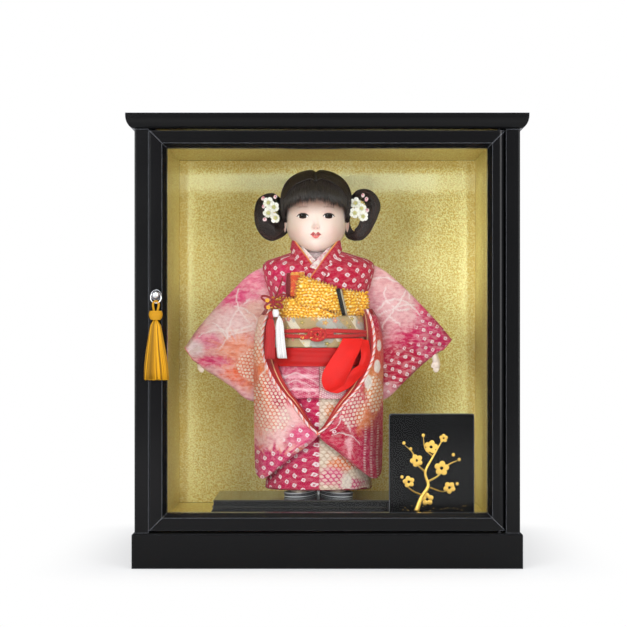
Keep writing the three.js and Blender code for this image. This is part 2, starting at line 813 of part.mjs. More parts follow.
// Turn catch: the rosette's barrel goes through the stile, the knob's spindle through it.
function turnCatch(door) {
  const face = front - seat_gap;
  const barrel_back = door_back + seat_gap + lock_nut_thickness;
  const rosette = join(
    roundY(rosette_radius, lock_x, lock_height, face - rosette_thickness, face),
    roundY(barrel_radius, lock_x, lock_height, face - seat_gap, barrel_back),
  );
  const bore = roundY(spindle_radius + run_gap, lock_x, lock_height,
    face - rosette_thickness - cut_overrun, barrel_back + cut_overrun);
  add("catch_rosette", cut(rosette, bore), chrome, door);
  const nut = roundY(lock_nut_radius, lock_x, lock_height, door_back + seat_gap,
    barrel_back, 6);
  add("catch_nut", cut(nut, roundY(barrel_radius + seat_gap, lock_x, lock_height, door_back,
    barrel_back + cut_overrun)), steel, door);
  const neck_front = face - rosette_thickness - knob_neck_length;
  const knob = join(
    roundY(spindle_radius, lock_x, lock_height, face - rosette_thickness, barrel_back),
    roundY(spindle_tail_radius, lock_x, lock_height, barrel_back - cut_overrun,
      cam_front + cam_thickness, 12),
    roundY(knob_neck_radius, lock_x, lock_height, neck_front - seat_gap,
      face - rosette_thickness + seat_gap, 12),
    solid(new THREE.CylinderGeometry(knob_radius, knob_radius * 0.72, knob_length - seat_gap,
      12).translate(lock_x, neck_front - (knob_length - seat_gap) / 2, lock_height)),
  );
  add("turn_knob", knob, chrome, door);
  const half = cam_width / 2;
  const outline = [
    ...quarter(lock_x, lock_height, half, 0),
    ...quarter(lock_x, lock_height, half, 1),
    [lock_x - half, lock_height - cam_length + half / 2],
    [lock_x - half / 2, lock_height - cam_length],
    [lock_x + half / 2, lock_height - cam_length],
    [lock_x + half, lock_height - cam_length + half / 2],
  ];
  const cam = prismY(outline, cam_front, cam_front + cam_thickness);
  const eye = roundY(spindle_tail_radius + seat_gap, lock_x, lock_height,
    cam_front - cut_overrun, cam_front + cam_thickness + cut_overrun, 12);
  add("catch_cam", cut(cam, eye), steel, door);
}

// The ring hangs over the knob's neck, and the tassel's doubled cord over the ring.
function tassel(door) {
  const y = front - seat_gap - rosette_thickness - knob_neck_length / 2;
  const ring_z = lock_height + knob_neck_radius + seat_gap + ring_wire_radius - ring_radius;
  const ring = new THREE.TorusGeometry(ring_radius, ring_wire_radius, 6, 20);
  ring.rotateX(Math.PI / 2).translate(lock_x, y, ring_z);
  add("catch_ring", solid(ring), chrome, door);
  const loop_top = ring_z - ring_radius + ring_wire_radius + seat_gap + tassel_cord_radius;
  const loop_bottom = loop_top - tassel_cord_drop;
  const reach = ring_wire_radius + seat_gap + tassel_cord_radius;
  const loop_path = [
    vec(lock_x, y - reach * 0.2, loop_top),
    vec(lock_x + reach * 0.3, y - reach, loop_top - reach),
    vec(lock_x + tassel_cord_spread / 2, y - reach * 0.8, mix(loop_top, loop_bottom, 0.6)),
    vec(lock_x, y - reach * 0.2, loop_bottom),
    vec(lock_x - tassel_cord_spread / 2, y + reach * 0.7, mix(loop_top, loop_bottom, 0.6)),
    vec(lock_x - reach * 0.3, y + reach, loop_top - reach),
  ];
  add("tassel_cord", cord(loop_path, 20, () => tassel_cord_radius, 5, true), gold_yarn, door);
  const top = loop_bottom - tassel_cord_radius - seat_gap;
  const head_share = tassel_head_height / tassel_length;
  const wide = tassel_head_radius / tassel_foot_radius;
  const form = {
    rows: [
      [0, 1, 1],
      [0.1, 0.96, 1],
      [0.45, 0.74, 0.95],
      [1 - head_share - 0.1, 0.5, 0.8],
      [1 - head_share, wide * 0.82, 0.7],
      [1 - head_share * 0.5, wide, 0.95],
      [1 - head_share * 0.12, wide * 0.75, 0.75],
      [1, wide * 0.3, 0.3],
    ].map(([z, w, d]) => [z, w, d, d]),
    base: top - tassel_length,
    height: tassel_length,
    half: tassel_foot_radius,
    fore: tassel_half_depth,
    aft: tassel_half_depth,
    x: lock_x,
    y: front - seat_gap - tassel_half_depth - tassel_tuft_depth,
    steps: 9,
    sides: 21,
    warp: (p, t, angle) => {
      const furrow = 1 - (tassel_tuft_depth / tassel_half_depth) * Math.cos(7 * angle);
      return t < 1 - head_share ? vec(p.x * furrow, p.y * furrow, p.z) : p;
    },
  };
  add("tassel", tower(form), gold_yarn, door);
}

// Platform, name plate and stand rod

// The platform's edge: a square foot, a hollow moulding and a rounded top edge.
function platformSection(reach) {
  const h = platform_height;
  const m = platform_moulding;
  return [
    [reach, platform_bottom],
    [reach, platform_bottom + h * 0.26],
    [reach - m * 0.34, platform_bottom + h * 0.32],
    [reach - m * 0.4, platform_bottom + h * 0.44],
    [reach - m * 0.72, platform_bottom + h * 0.6],
    [reach - m * 0.78, platform_bottom + h * 0.74],
    [reach - m * 0.86, platform_bottom + h * 0.92],
    [reach - m, platform_top],
  ];
}

function platform() {
  const half = platform_width / 2;
  const middle_y = front + platform_set_back + platform_depth / 2;
  const right = platformSection(half);
  const across = prismY(
    [...right, ...right.map(([x, z]) => [-x, z]).reverse()].map(([x, z]) => [
      x + platform_shift,
      z,
    ]),
    middle_y - platform_depth,
    middle_y + platform_depth,
  );
  const deep = platformSection(platform_depth / 2);
  const along = prismX(
    [...deep, ...deep.map(([y, z]) => [-y, z]).reverse()].map(([y, z]) => [y + middle_y, z]),
    -platform_width,
    platform_width,
  );
  const rod_y = doll_y + rod_set_back;
  const seat = roundZ(rod_radius + seat_gap, doll_shift, rod_y, platform_top - rod_seat,
    platform_top + cut_overrun, 12);
  add("platform", cut(across.intersect(along), seat), black_lacquer);
  add("stand_rod", roundZ(rod_radius, doll_shift, rod_y, platform_top - rod_seat + seat_gap,
    platform_top - rod_seat + rod_length, 12), steel);
}

function namePlate() {
  const r = plate_corner_radius;
  const half = plate_width / 2;
  const z0 = floor_top + seat_gap;
  const z1 = z0 + plate_height;
  const x0 = plate_shift - half;
  const x1 = plate_shift + half;
  const y = front + plate_set_back;
  const outline = [
    ...quarter(x0 + r, z0 + r, r, 2),
    ...quarter(x1 - r, z0 + r, r, 3),
    ...quarter(x1 - r, z1 - r, r, 0),
    ...quarter(x0 + r, z1 - r, r, 1),
  ];
  add("name_plate", prismY(outline, y, y + plate_thickness), black_lacquer);
  const behind = y + plate_thickness + seat_gap;
  const t = strut_thickness;
  const side = [
    [behind, z0],
    [behind + strut_depth, z0],
    [behind + strut_depth, z0 + t],
    [behind + t, z0 + strut_height],
    [behind, z0 + strut_height],
  ];
  add("plate_strut", prismX(side, plate_shift - strut_width / 2,
    plate_shift + strut_width / 2), black_lacquer);
}

// Doll: each form stands on the soles' height, with its axis at the doll's own axis

const bodice = {
  rows: [
    [0, 0.87, 1, 1],
    [0.14, 0.84, 0.98, 0.99],
    [0.22, 0.8, 0.95, 0.97],
    [0.34, 0.76, 0.9, 0.93],
    [0.55, 0.78, 0.9, 0.92],
    [0.68, 0.86, 0.92, 0.92],
    [0.8, 0.96, 0.88, 0.86],
    [0.89, 1, 0.74, 0.72],
    [0.935, 0.92, 0.56, 0.58],
    [0.97, 0.66, 0.42, 0.46],
    [1, 0.42, 0.34, 0.42],
  ],
  base: waist_fold_bottom,
  height: shoulder_height + collar_width * 0.7 - waist_fold_bottom,
  half: shoulder_half_width,
  fore: obi_front + kimono_thickness / 2,
  aft: obi_back,
  square: 2.2,
  steps: 11,
  sides: 20,
};

const skirt = {
  rows: [
    [0, 1, 1, 1],
    [0.3, 0.96, 1, 1],
    [0.7, 0.87, 0.95, 0.95],
    [1, 0.77, 0.86, 0.86],
  ],
  base: skirt_bottom,
  height: sash_bottom - skirt_bottom,
  half: skirt_half_width,
  fore: skirt_front,
  aft: skirt_back,
  square: 2.4,
  steps: 5,
  sides: 27,
  warp: (p, t, angle) => {
    const behind = Math.max(0, Math.sin(angle)) * (1 - 0.6 * t);
    const fold = 1 + (skirt_fold_depth / skirt_front) * Math.cos(9 * angle) * behind;
    const lap = p.x > 0 && p.y < 0 ? skirt_overlap_step * (1 - p.x / skirt_half_width) : 0;
    return vec(p.x * fold, p.y * fold - lap, p.z);
  },
};

const torso = {
  rows: [
    [0, 0.55, 0.6, 0.6],
    [0.06, 0.86, 0.9, 0.95],
    [0.2, 0.98, 1, 1],
    [0.42, 0.88, 0.92, 0.85],
    [0.68, 1, 1, 0.95],
    [0.86, 1.02, 0.85, 0.85],
    [0.94, 0.76, 0.6, 0.6],
    [1, 0.4, 0.5, 0.5],
  ],
  base: crotch_height,
  height: body_height - crotch_height,
  half: body_chest_width / 2,
  fore: body_chest_depth / 2,
  aft: body_chest_depth / 2,
  steps: 6,
  sides: 12,
};

const head_form = {
  rows: [
    [0, 0.2, 0.66, 0],
    [0.03, 0.42, 0.8, 0.12],
    [0.1, 0.68, 0.9, 0.3],
    [0.2, 0.9, 0.97, 0.58],
    [0.33, 1.01, 1, 0.82],
    [0.5, 1.01, 1, 1],
    [0.65, 0.97, 0.98, 1.03],
    [0.8, 0.83, 0.88, 0.95],
    [0.92, 0.56, 0.62, 0.68],
    [1, 0.15, 0.2, 0.2],
  ],
  base: chin_height,
  height: head_height,
  half: head_width / 2,
  fore: face_depth,
  aft: skull_depth,
  x: head_shift,
  steps: 15,
  sides: 20,
  warp: (p, t) => {
    if (p.y > 0) return p;
    const nose = bell(p.x, nose_radius * 0.62) * bell(t - 0.32, t < 0.32 ? 0.035 : 0.09);
    const lips = bell(p.x, nose_radius) * bell(t - 0.2, 0.035);
    const cheeks = bell(Math.abs(p.x) - head_width * 0.24, head_width * 0.14);
    const swell = cheeks * bell(t - 0.24, 0.1) * cheek_swell;
    return vec(p.x, p.y - nose * nose_length - lips * lip_swell - swell, p.z);
  },
};

const hair_form = {
  rows: [
    [0, 0.5, 0.2, 0.78],
    [0.08, 0.78, 0.5, 0.94],
    [0.24, 0.94, 0.9, 1],
    [0.45, 1, 1, 1],
    [0.66, 0.96, 0.97, 0.97],
    [0.83, 0.8, 0.84, 0.84],
    [0.94, 0.53, 0.58, 0.58],
    [1, 0.18, 0.2, 0.2],
  ],
  base: nape_height,
  height: crown_height - nape_height,
  half: head_width / 2 + hair_thickness,
  fore: face_depth + hair_thickness,
  aft: skull_depth + hair_back_thickness,
  x: head_shift,
  steps: 9,
  sides: 20,
};

function dollBody(doll) {
  const legs = [-1, 1].map((side) => {
    const x = (side * leg_spacing) / 2;
    const leg = {
      rows: [
        [0, ankle_radius / leg_radius],
        [0.3, 0.85],
        [0.5, 0.78],
        [1, 1],
      ].map(([z, w]) => [z, w, w, w]),
      base: sandal_thickness + foot_height * 0.6,
      height: crotch_height - sandal_thickness,
      half: leg_radius,
      fore: leg_radius,
      aft: leg_radius,
      x,
      steps: 4,
      sides: 8,
    };
    const foot = {
      rows: [
        [0, 0.86, 0.92, 0.92],
        [0.3, 1, 1, 1],
        [0.7, 0.88, 0.72, 0.95],
        [1, 0.62, 0.3, 0.7],
      ],
      base: sandal_thickness + seat_gap,
      height: foot_height,
      half: foot_width / 2,
      fore: foot_length * 0.56,
      aft: foot_length * 0.4,
      x,
      steps: 4,
      sides: 12,
    };
    return join(tower(leg), tower(foot));
  });
  const neck_socket = roundZ(neck_plug_radius + run_gap, head_shift, 0,
    body_height - neck_plug_length, body_height + cut_overrun);
  const rod_socket = roundZ(rod_radius + seat_gap, 0, rod_set_back, crotch_height - cut_overrun,
    rod_length - rod_seat + seat_gap * 2, 12);
  const body = join(tower(torso), ...legs);
  add("doll_body", cut(body, neck_socket, rod_socket, rodClearance()), body_composition, doll);
  [-1, 1].forEach((side) => {
    const count = 28;
    const turn = side * sandal_turn_share * 2 * Math.PI;
    const sole = Array.from({ length: count }, (_, i) => {
      const angle = (2 * Math.PI * i) / count;
      const waist = 1 - 0.1 * Math.cos(2 * angle);
      const x = (sandal_width / 2) * Math.cos(angle) * waist;
      const y = (sandal_length / 2) * Math.sin(angle);
      return [
        side * (leg_spacing / 2) * 0.93 + x * Math.cos(turn) - y * Math.sin(turn),
        x * Math.sin(turn) + y * Math.cos(turn),
      ];
    });
    const name = side < 0 ? "sandal_left" : "sandal_right";
    add(name, cut(prismZ(sole, 0, sandal_thickness), rodClearance()), black_lacquer, doll);
  });
}

// Room for the stand rod where it passes between the feet and legs.
function rodClearance() {
  return roundZ(rod_radius + seat_gap, 0, rod_set_back, -cut_overrun, crotch_height, 12);
}

// Arms run from the shoulders down inside the sleeves; only the hands show.
const arm_shares = [
  [0.3, 0.01, 0.91],
  [0.5, 0, 0.82],
  [0.76, 0, 0.69],
  [0.93, 0, 0.61],
  [0.965, 0, 0.568],
];

function armTube(side, grow) {
  const path = arm_shares.map(([x, y, z]) =>
    vec(side * x * arm_reach, y * arm_reach + sleeve_thickness / 4, z * shoulder_height),
  );
  return cord(path, 7, (t) => mix(arm_radius, wrist_radius, t) + grow, 6);
}

// A small hand hanging from the wrist: a palm, four close fingers and a thumb.
function hand(side, grow) {
  const [x, y, z] = arm_shares[arm_shares.length - 1];
  const wrist = vec(side * x * arm_reach, y * arm_reach + sleeve_thickness / 4,
    z * shoulder_height);
  const palm = ball(wrist.x, wrist.y, wrist.z, hand_width / 2 + grow, hand_thickness / 2 + grow,
    hand_length * hand_palm_share + grow, 8);
  const finger = (u, reach, spread) => {
    const start = vec(wrist.x + u, wrist.y, wrist.z);
    const end = vec(wrist.x + u + spread, wrist.y, wrist.z - reach);
    const middle = start.clone().lerp(end, 0.5).add(vec(0, -finger_radius / 2, 0));
    return cord([start, middle, end], 2, (t) => finger_radius * mix(1.1, 0.75, t) + grow, 5);
  };
  const fingers = [-1.5, -0.5, 0.5, 1.5].map((n) =>
    finger(n * finger_radius * 1.35, hand_length * (0.56 - 0.05 * Math.abs(n)), 0),
  );
  const thumb = finger(0, hand_length * 0.36, -side * hand_width * 0.56);
  return join(palm, ...fingers, thumb);
}

function arm(doll, side) {
  const body_room = tower(torso, seat_gap);
  const name = side < 0 ? "arm_left" : "arm_right";
  add(name, cut(join(armTube(side, 0), hand(side, 0)), body_room), porcelain_white, doll);
}

function earPair(grow) {
  return [-1, 1].map((side) =>
    ball(head_shift + side * (head_width / 2 + ear_width * 0.1), ear_depth * 0.2,
      chin_height + head_height * 0.38, ear_width * 0.6 + grow, ear_depth / 2 + grow,
      ear_height / 2 + grow, 8),
  );
}

// Room for the head as it turns from side to side.
function headRoom() {
  const turned = (turn) => tower({ ...head_form, warp: undefined, steps: 10, turn }, head_gap);
  return join(turned(-head_turn), turned(0), turned(head_turn));
}

function headAndHair(doll) {
  const ears = earPair(0);
  const neck = join(
    roundZ(neck_radius, head_shift, 0, body_height + seat_gap, chin_height + head_height / 3),
    roundZ(neck_plug_radius, head_shift, 0, body_height - neck_plug_length + seat_gap,
      body_height + cut_overrun),
  );
  const head = join(tower(head_form), ...ears, neck);
  add("head", head, porcelain_white, doll);

  const half = face_opening_width / 2;
  const wide = head_width;
  const opening = prismY(
    [
      [-wide, nape_height - cut_overrun],
      [wide, nape_height - cut_overrun],
      [wide, side_hair_height],
      [half * 1.1, side_hair_height],
      [half * 1.02, bangs_height - bangs_drop],
      [half * 0.72, bangs_height - bangs_drop * 0.2],
      [0, bangs_height],
      [-half * 0.72, bangs_height - bangs_drop * 0.2],
      [-half * 1.02, bangs_height - bangs_drop],
      [-half * 1.1, side_hair_height],
      [-wide, side_hair_height],
    ].map(([x, z]) => [x + head_shift, z]),
    -face_depth * 2,
    ear_depth * 0.6,
  );
  const parting = prismY(
    [
      [-parting_width / 2, crown_height + cut_overrun],
      [0, crown_height - parting_depth],
      [parting_width / 2, crown_height + cut_overrun],
    ].map(([x, z]) => [x + head_shift, z]),
    -face_depth,
    skull_depth,
  );
  const inside = join(tower(head_form, seat_gap), ...earPair(seat_gap));
  add("hair", cut(tower(hair_form), inside, opening, parting), black_hair, doll);

  [-1, 1].forEach((side) => {
    const bunch = hairBunch(side);
    const room = join(tower(hair_form, seat_gap), inside);
    const name = side < 0 ? "left" : "right";
    add(`hair_bunch_${name}`, cut(bunch, room), black_hair, doll);
    add(`blossoms_${name}`, cut(blossoms(side), room), white_petal, doll);
  });
}

// A bunch of hair looped up beside the head: thick outside, thin where it is tied.
function hairBunch(side) {
  const count = 10;
  const across = bun_width / 2 - bun_radius * 0.6;
  const up = bun_length / 2 - bun_radius * 0.8;
  const path = Array.from({ length: count }, (_, i) => {
    const angle = (2 * Math.PI * i) / count;
    return vec(
      head_shift + side * (bun_reach + across * Math.cos(angle)),
      bun_set_back,
      bun_height - up * Math.sin(angle),
    );
  });
  const radiusAt = (t) =>
    mix(bun_radius, bun_thin_radius, (1 - Math.cos(2 * Math.PI * (t - bun_thick_share))) / 2);
  return cord(path, 16, radiusAt, 7, true);
}

// Three five-petalled blossoms on one pin, overlapping each other.
function blossoms(side) {
  const places = [
    [0.1, 0.62, 0],
    [-0.55, -0.45, 0.5],
    [0.62, -0.6, 0.9],
  ];
  const x0 = head_shift + side * blossom_reach;
  const y0 = bun_set_back - bun_radius - seat_gap;
  const flowers = places.map(([u, v, forward]) => {
    const petals = Array.from({ length: 25 }, (_, i) => {
      const angle = (2 * Math.PI * i) / 25;
      const r = blossom_radius * (0.62 + 0.38 * Math.abs(Math.cos(2.5 * angle)) ** 0.6);
      return [
        x0 + side * u * blossom_radius + r * Math.cos(angle),
        blossom_height + v * blossom_radius + r * Math.sin(angle),
      ];
    });
    const y1 = y0 - forward * blossom_thickness;
    return prismY(petals, y1 - blossom_thickness, y1);
  });
  return join(...flowers);
}

// The kimono: a hollow bodice with its waist fold, a skirt tube, sleeves and their drops.
function kimono(doll) {
  const arms = join(armTube(-1, cloth_gap), armTube(1, cloth_gap));
  const inner = tower({ ...bodice, steps: 7, sides: 14 }, -kimono_thickness, -kimono_thickness);
  const skirt_room = tower(skirt, cloth_gap, cloth_gap);
  const below = block(-case_half, case_half, -case_half, case_half,
    waist_fold_bottom - cut_overrun * 2, waist_fold_bottom + kimono_thickness + cut_overrun);
  const skirt_top = skirt_bottom + skirt.height;
  const lower_room = tower({ ...skirt, warp: undefined }, cloth_gap, cut_overrun)
    .intersect(below);
  const neck_room = roundZ(neck_radius + inner_collar_thickness + cloth_gap * 2, head_shift, 0,
    skirt_top, collar_top + cut_overrun);
  const throat = prismY(
    [
      [-collar_half_width * 0.86, collar_top],
      [0, collar_cross_height - cut_overrun / 2],
      [collar_half_width * 0.86, collar_top],
    ].map(([x, z]) => [x + head_shift, z]),
    -obi_front * 2,
    0,
  );
  const shell = cut(tower(bodice), inner, skirt_room, lower_room, neck_room, throat, arms,
    tower(torso, cloth_gap), headRoom());
  add("kimono_bodice", shell, crimson_cloth, doll);

  const hollow = tower({ ...skirt, warp: undefined, steps: 3, sides: 20 }, -kimono_thickness,
    cut_overrun);
  add("kimono_skirt", cut(tower(skirt), hollow), crimson_cloth, doll);
}

// Places along the wide sleeves as shares of the reach and of the shoulder's height: how far
// out, then the upper and the lower edge.
const sleeve_left_shares = [
  [0.33, 0.99, 0.41],
  [0.52, 0.942, 0.4],
  [0.66, 0.865, 0.455],
  [0.79, 0.785, 0.5],
  [0.9, 0.705, 0.535],
  [0.985, 0.628, 0.57],
];
const sleeve_right_shares = [
  [0.33, 1, 0.41],
  [0.5, 0.955, 0.405],
  [0.65, 0.882, 0.475],
  [0.79, 0.796, 0.545],
  [0.9, 0.724, 0.59],
  [0.98, 0.662, 0.615],
];

function sleeve(side, shares) {
  const at = smooth(shares);
  const steps = 8;
  const sides = 14;
  const rings = [];
  for (let s = 0; s <= steps; s++) {
    const t = s / steps;
    const [out, high, low] = at(t);
    const slant = 0.1 * Math.max(0, t - 0.3); // the cuff leans, lower edge inwards
    const ring = [];
    for (let i = 0; i < sides; i++) {
      const angle = (2 * Math.PI * (i + 0.5)) / sides;
      const c = Math.cos(angle);
      const d = Math.sin(angle);
      const down = (1 - c) / 2;
      const fold = sleeve_fold_depth * t * Math.cos(5 * Math.PI * down + 0.6);
      const half = (sleeve_thickness / 2) * mix(1, 0.92, t) * Math.sign(d) * Math.abs(d) ** 0.7;
      ring.push(
        vec(
          side * sleeve_reach * (out + slant * (0.5 - down)),
          half + fold * Math.abs(d) + sleeve_thickness / 4,
          mix(high, low, down) * shoulder_height,
        ),
      );
    }
    rings.push(ring);
  }
  return skin(rings);
}

// A sleeve's long lower part falls in front of the skirt and ends in a slanting hem.
const drop_depth = (x) => {
  const across = Math.min(1, Math.abs(x) / (drop_half_width * 1.01));
  return drop_side_front + (drop_front - drop_side_front) * (1 - across ** 2) ** 0.5;
};

function sleeveDrop(side, grow = 0) {
  const tip = drop_tip_gap;
  const outer = drop_half_width;
  const high = drop_top - drop_bottom;
  const tip_share = (drop_tip_height - drop_bottom) / high;
  const rows = [
    [0, 0.93, drop_corner_inner / outer],
    [0.03, 0.985, (drop_corner_inner * 0.86) / outer],
    [tip_share * 0.6, 1, (drop_corner_inner * 0.4) / outer],
    [tip_share, 1.005, tip / outer],
    [tip_share * 1.25, 1.005, 0.15],
    [0.45, 1, 0.42],
    [0.62, 0.985, 0.6],
    [0.8, 0.965, 0.7],
    [0.93, 0.93, 0.7],
    [1, 0.86, drop_top_inner / outer],
  ];
  const placed = rows.map(([z, far, near]) => {
    const edges = [side * far * outer, side * near * outer];
    return [drop_bottom + z * high, Math.min(...edges), Math.max(...edges)];
  });
  return wrap({
    rows: placed,
    steps: 13,
    columns: 8,
    lift: -grow,
    thickness: drop_thickness + grow * 2,
    depthAt: (x, z, u) => {
      const outward = (side < 0 ? 1 - u : u) ** 8;
      return mix(drop_depth(x), drop_side_front, outward);
    },
    ripple: (u, t) =>
      drop_fold_depth * Math.sin(2.5 * Math.PI * u + 1) * Math.sin(Math.PI * u) * (1 - 0.5 * t),
  });
}

function sleeves(doll) {
  const belted = { ...obi_form, base: sash_bottom, height: obi_top - sash_bottom };
  const room = join(tower(bodice, cloth_gap), tower(skirt, cloth_gap),
    tower(belted, obijime_radius * 2 + seat_gap * 5, seat_gap));
  const free = (side) => join(armTube(side, cloth_gap), hand(side, cloth_gap), room);
  const left = cut(sleeve(-1, sleeve_left_shares), free(-1), sleeveDrop(-1, seat_gap));
  const right = cut(sleeve(1, sleeve_right_shares), free(1), sleeveDrop(1, seat_gap));
  add("sleeve_left", left, pink_cloth, doll);
  add("sleeve_right", right, pink_cloth, doll);
  add("sleeve_drop_left", sleeveDrop(-1), coral_cloth, doll);
  add("sleeve_drop_right", sleeveDrop(1), coral_cloth, doll);
}

// Collars: bands that lie on the chest, cross in front and stand round the neck. The lower
// layer starts on the right, passes the neck's left side and comes back as the upper layer.
function collarPath(inset, lift, start, end) {
  const half = collar_half_width - inset;
  const cross = collar_cross_height + inset * 1.5;
  const top = collar_top - inset * 0.5;
  const on = (x, z, layer) => vec(x + head_shift, -frontOf(bodice, x, z) - lift - layer, z);
  const upper = collar_thickness + cloth_gap;
  return [
    on(start, cross - start * 0.9, 0),
    on(half * 0.04, cross, 0),
    vec(head_shift - half * 0.5, -neck_radius * 2.35 - lift, mix(cross, top, 0.5)),
    vec(head_shift - half, -neck_radius * 0.9, top),
    vec(head_shift - half * 0.86, neck_radius * 0.9, top + inset * 0.2),
    vec(head_shift, neck_radius * 1.9 - inset * 0.4, top + inset * 0.2),
    vec(head_shift + half * 0.86, neck_radius * 0.9, top + inset * 0.2),
    vec(head_shift + half, -neck_radius * 0.9, top),
    vec(head_shift + half * 0.5, -neck_radius * 2.35 - lift, mix(cross, top, 0.5)),
    on(-half * 0.04, cross, upper),
    on(-end, cross - end * 0.9, upper),
  ];
}

function outerCollar(grow) {
  const outward = (p) => vec(p.x - head_shift, Math.min(p.y, p.y * 0.6), collar_thickness * 2.5);
  const lift = cloth_gap + collar_thickness;
  return band(collarPath(0, lift, collar_width * 1.1, collar_width * 1.4), 22,
    collar_width + grow * 2, collar_thickness + grow * 2, outward);
}

function collars(doll) {
  const room = join(tower(bodice, cloth_gap / 2), headRoom());
  add("kimono_collar", cut(outerCollar(0), room), crimson_cloth, doll);
  const outward = (p) => vec(p.x - head_shift, Math.min(p.y, p.y * 0.6), collar_thickness * 2.5);
  const inset = collar_width / 2 - collar_thickness / 2;
  const inner = band(collarPath(inset, 0, seat_gap, collar_thickness), 18, inner_collar_width,
    inner_collar_thickness, outward);
  const neck = roundZ(neck_radius + cloth_gap, head_shift, 0, body_height,
    collar_top + cut_overrun);
  add("inner_collar", cut(inner, neck, room, outerCollar(seat_gap)), cream_cloth, doll);
}

// Belts: the stiff brocade obi, its tied back, the cord, the scarf above it and the sash.
const obi_form = {
  rows: [
    [0, 0.985, 0.985, 0.985],
    [0.5, 1, 1, 1],
    [1, 0.985, 0.985, 0.985],
  ],
  base: obi_bottom,
  height: obi_top - obi_bottom,
  half: obi_half_width + obi_thickness,
  fore: obi_front + obi_thickness,
  aft: obi_back + obi_thickness,
  square: 2.2,
  steps: 2,
  sides: 24,
};

const sash_form = {
  ...obi_form,
  rows: [
    [0, 0.99, 1.02, 1],
    [0.5, 1.02, 1.03, 1.02],
    [1, 1, 1, 1],
  ],
  base: sash_bottom,
  height: obi_bottom - sash_bottom - seat_gap,
};

// The sash's hanging end: a wide ribbon down in front of the obi, folded at the bottom and
// carried back up behind itself to the sash.
function ribbon(grow) {
  const on = ([u, v, lift]) => {
    const x = u * ribbon_width;
    const near = frontOf(obi_form, x, mix(obi_bottom, obi_top, 0.5));
    return vec(x, -near - lift * ribbon_thickness, mix(ribbon_bottom, ribbon_top, v));
  };
  const layer = (shares) =>
    band(shares.map(on), 8, ribbon_width + grow * 2, ribbon_thickness + grow * 2, (p) =>
      vec(p.x * 0.5, p.y, 0));
  return join(layer(ribbon_front_shares), layer(ribbon_return_shares));
}

function sash(doll) {
  const ring = cut(tower(sash_form), tower(bodice, cloth_gap));
  const loop = cut(ribbon(0), tower(bodice, cloth_gap));
  add("sash", cut(join(ring, loop), tower(obi_form, seat_gap), sleeveDrop(1, cloth_gap)),
    scarlet_silk, doll);
}

function obijime(doll) {
  const r = obijime_radius + seat_gap * 2;
  const ringAt = (z) => {
    const points = Array.from({ length: obi_form.sides }, (_, i) => {
      const angle = (2 * Math.PI * (i + 0.5)) / obi_form.sides;
      const depth = Math.sin(angle) < 0 ? obi_form.fore : obi_form.aft;
      const c = Math.cos(angle);
      const d = Math.sin(angle);
      const power = 2 / obi_form.square;
      return vec(
        (obi_form.half + r) * Math.sign(c) * Math.abs(c) ** power,
        (depth + r) * Math.sign(d) * Math.abs(d) ** power,
        z,
      );
    });
    return cord(points, 24, () => obijime_radius, 5, true);
  };
  const knot = Array.from({ length: 12 }, (_, i) => {
    const angle = (2 * Math.PI * i) / 12;
    return vec(
      obijime_knot_radius * Math.cos(angle),
      -obi_form.fore - obijime_radius * (1.9 + 0.7 * Math.cos(2 * angle)),
      obijime_height + obijime_knot_radius * 0.75 * Math.sin(angle),
    );
  });
  const spacing = (obijime_spacing / 2) * 0.96;
  const tie = join(ringAt(obijime_height - spacing), cord(knot, 14, () => obijime_radius, 6, true),
    ringAt(obijime_height + spacing));
  add("obijime", cut(tie, tower(obi_form, seat_gap / 2), ribbon(seat_gap)), red_cloth, doll);
}

function obiageForm(grow) {
  const half = obiage_half_width;
  const high = obiage_peak - obi_top;
  const rows = [
    [0, -1, 1],
    [0.3, -1, 1.06],
    [0.5, -0.82, 1.1],
    [0.6, -0.34, 1.02],
    [0.8, -0.24, 0.6],
    [1, -0.16, 0.06],
  ];
  return wrap({
    rows: rows.map(([z, left, right]) => [obi_top + seat_gap + z * high, left * half, right * half]),
    steps: 7,
    columns: 8,
    lift: cloth_gap - grow,
    thickness: obiage_thickness + grow * 2,
    depthAt: (x, z) => frontOf(bodice, Math.sign(x) * Math.min(Math.abs(x), half * 0.95), z),
    ripple: (u, t) => obiage_fold_depth * Math.sin(5 * Math.PI * (u + 0.4 * t)),
  });
}

function obiage(doll) {
  add("obiage", cut(obiageForm(0), tower(bodice, cloth_gap), outerCollar(seat_gap),
    tower(obi_form, seat_gap), fanForm(seat_gap)), yellow_shibori, doll);
}

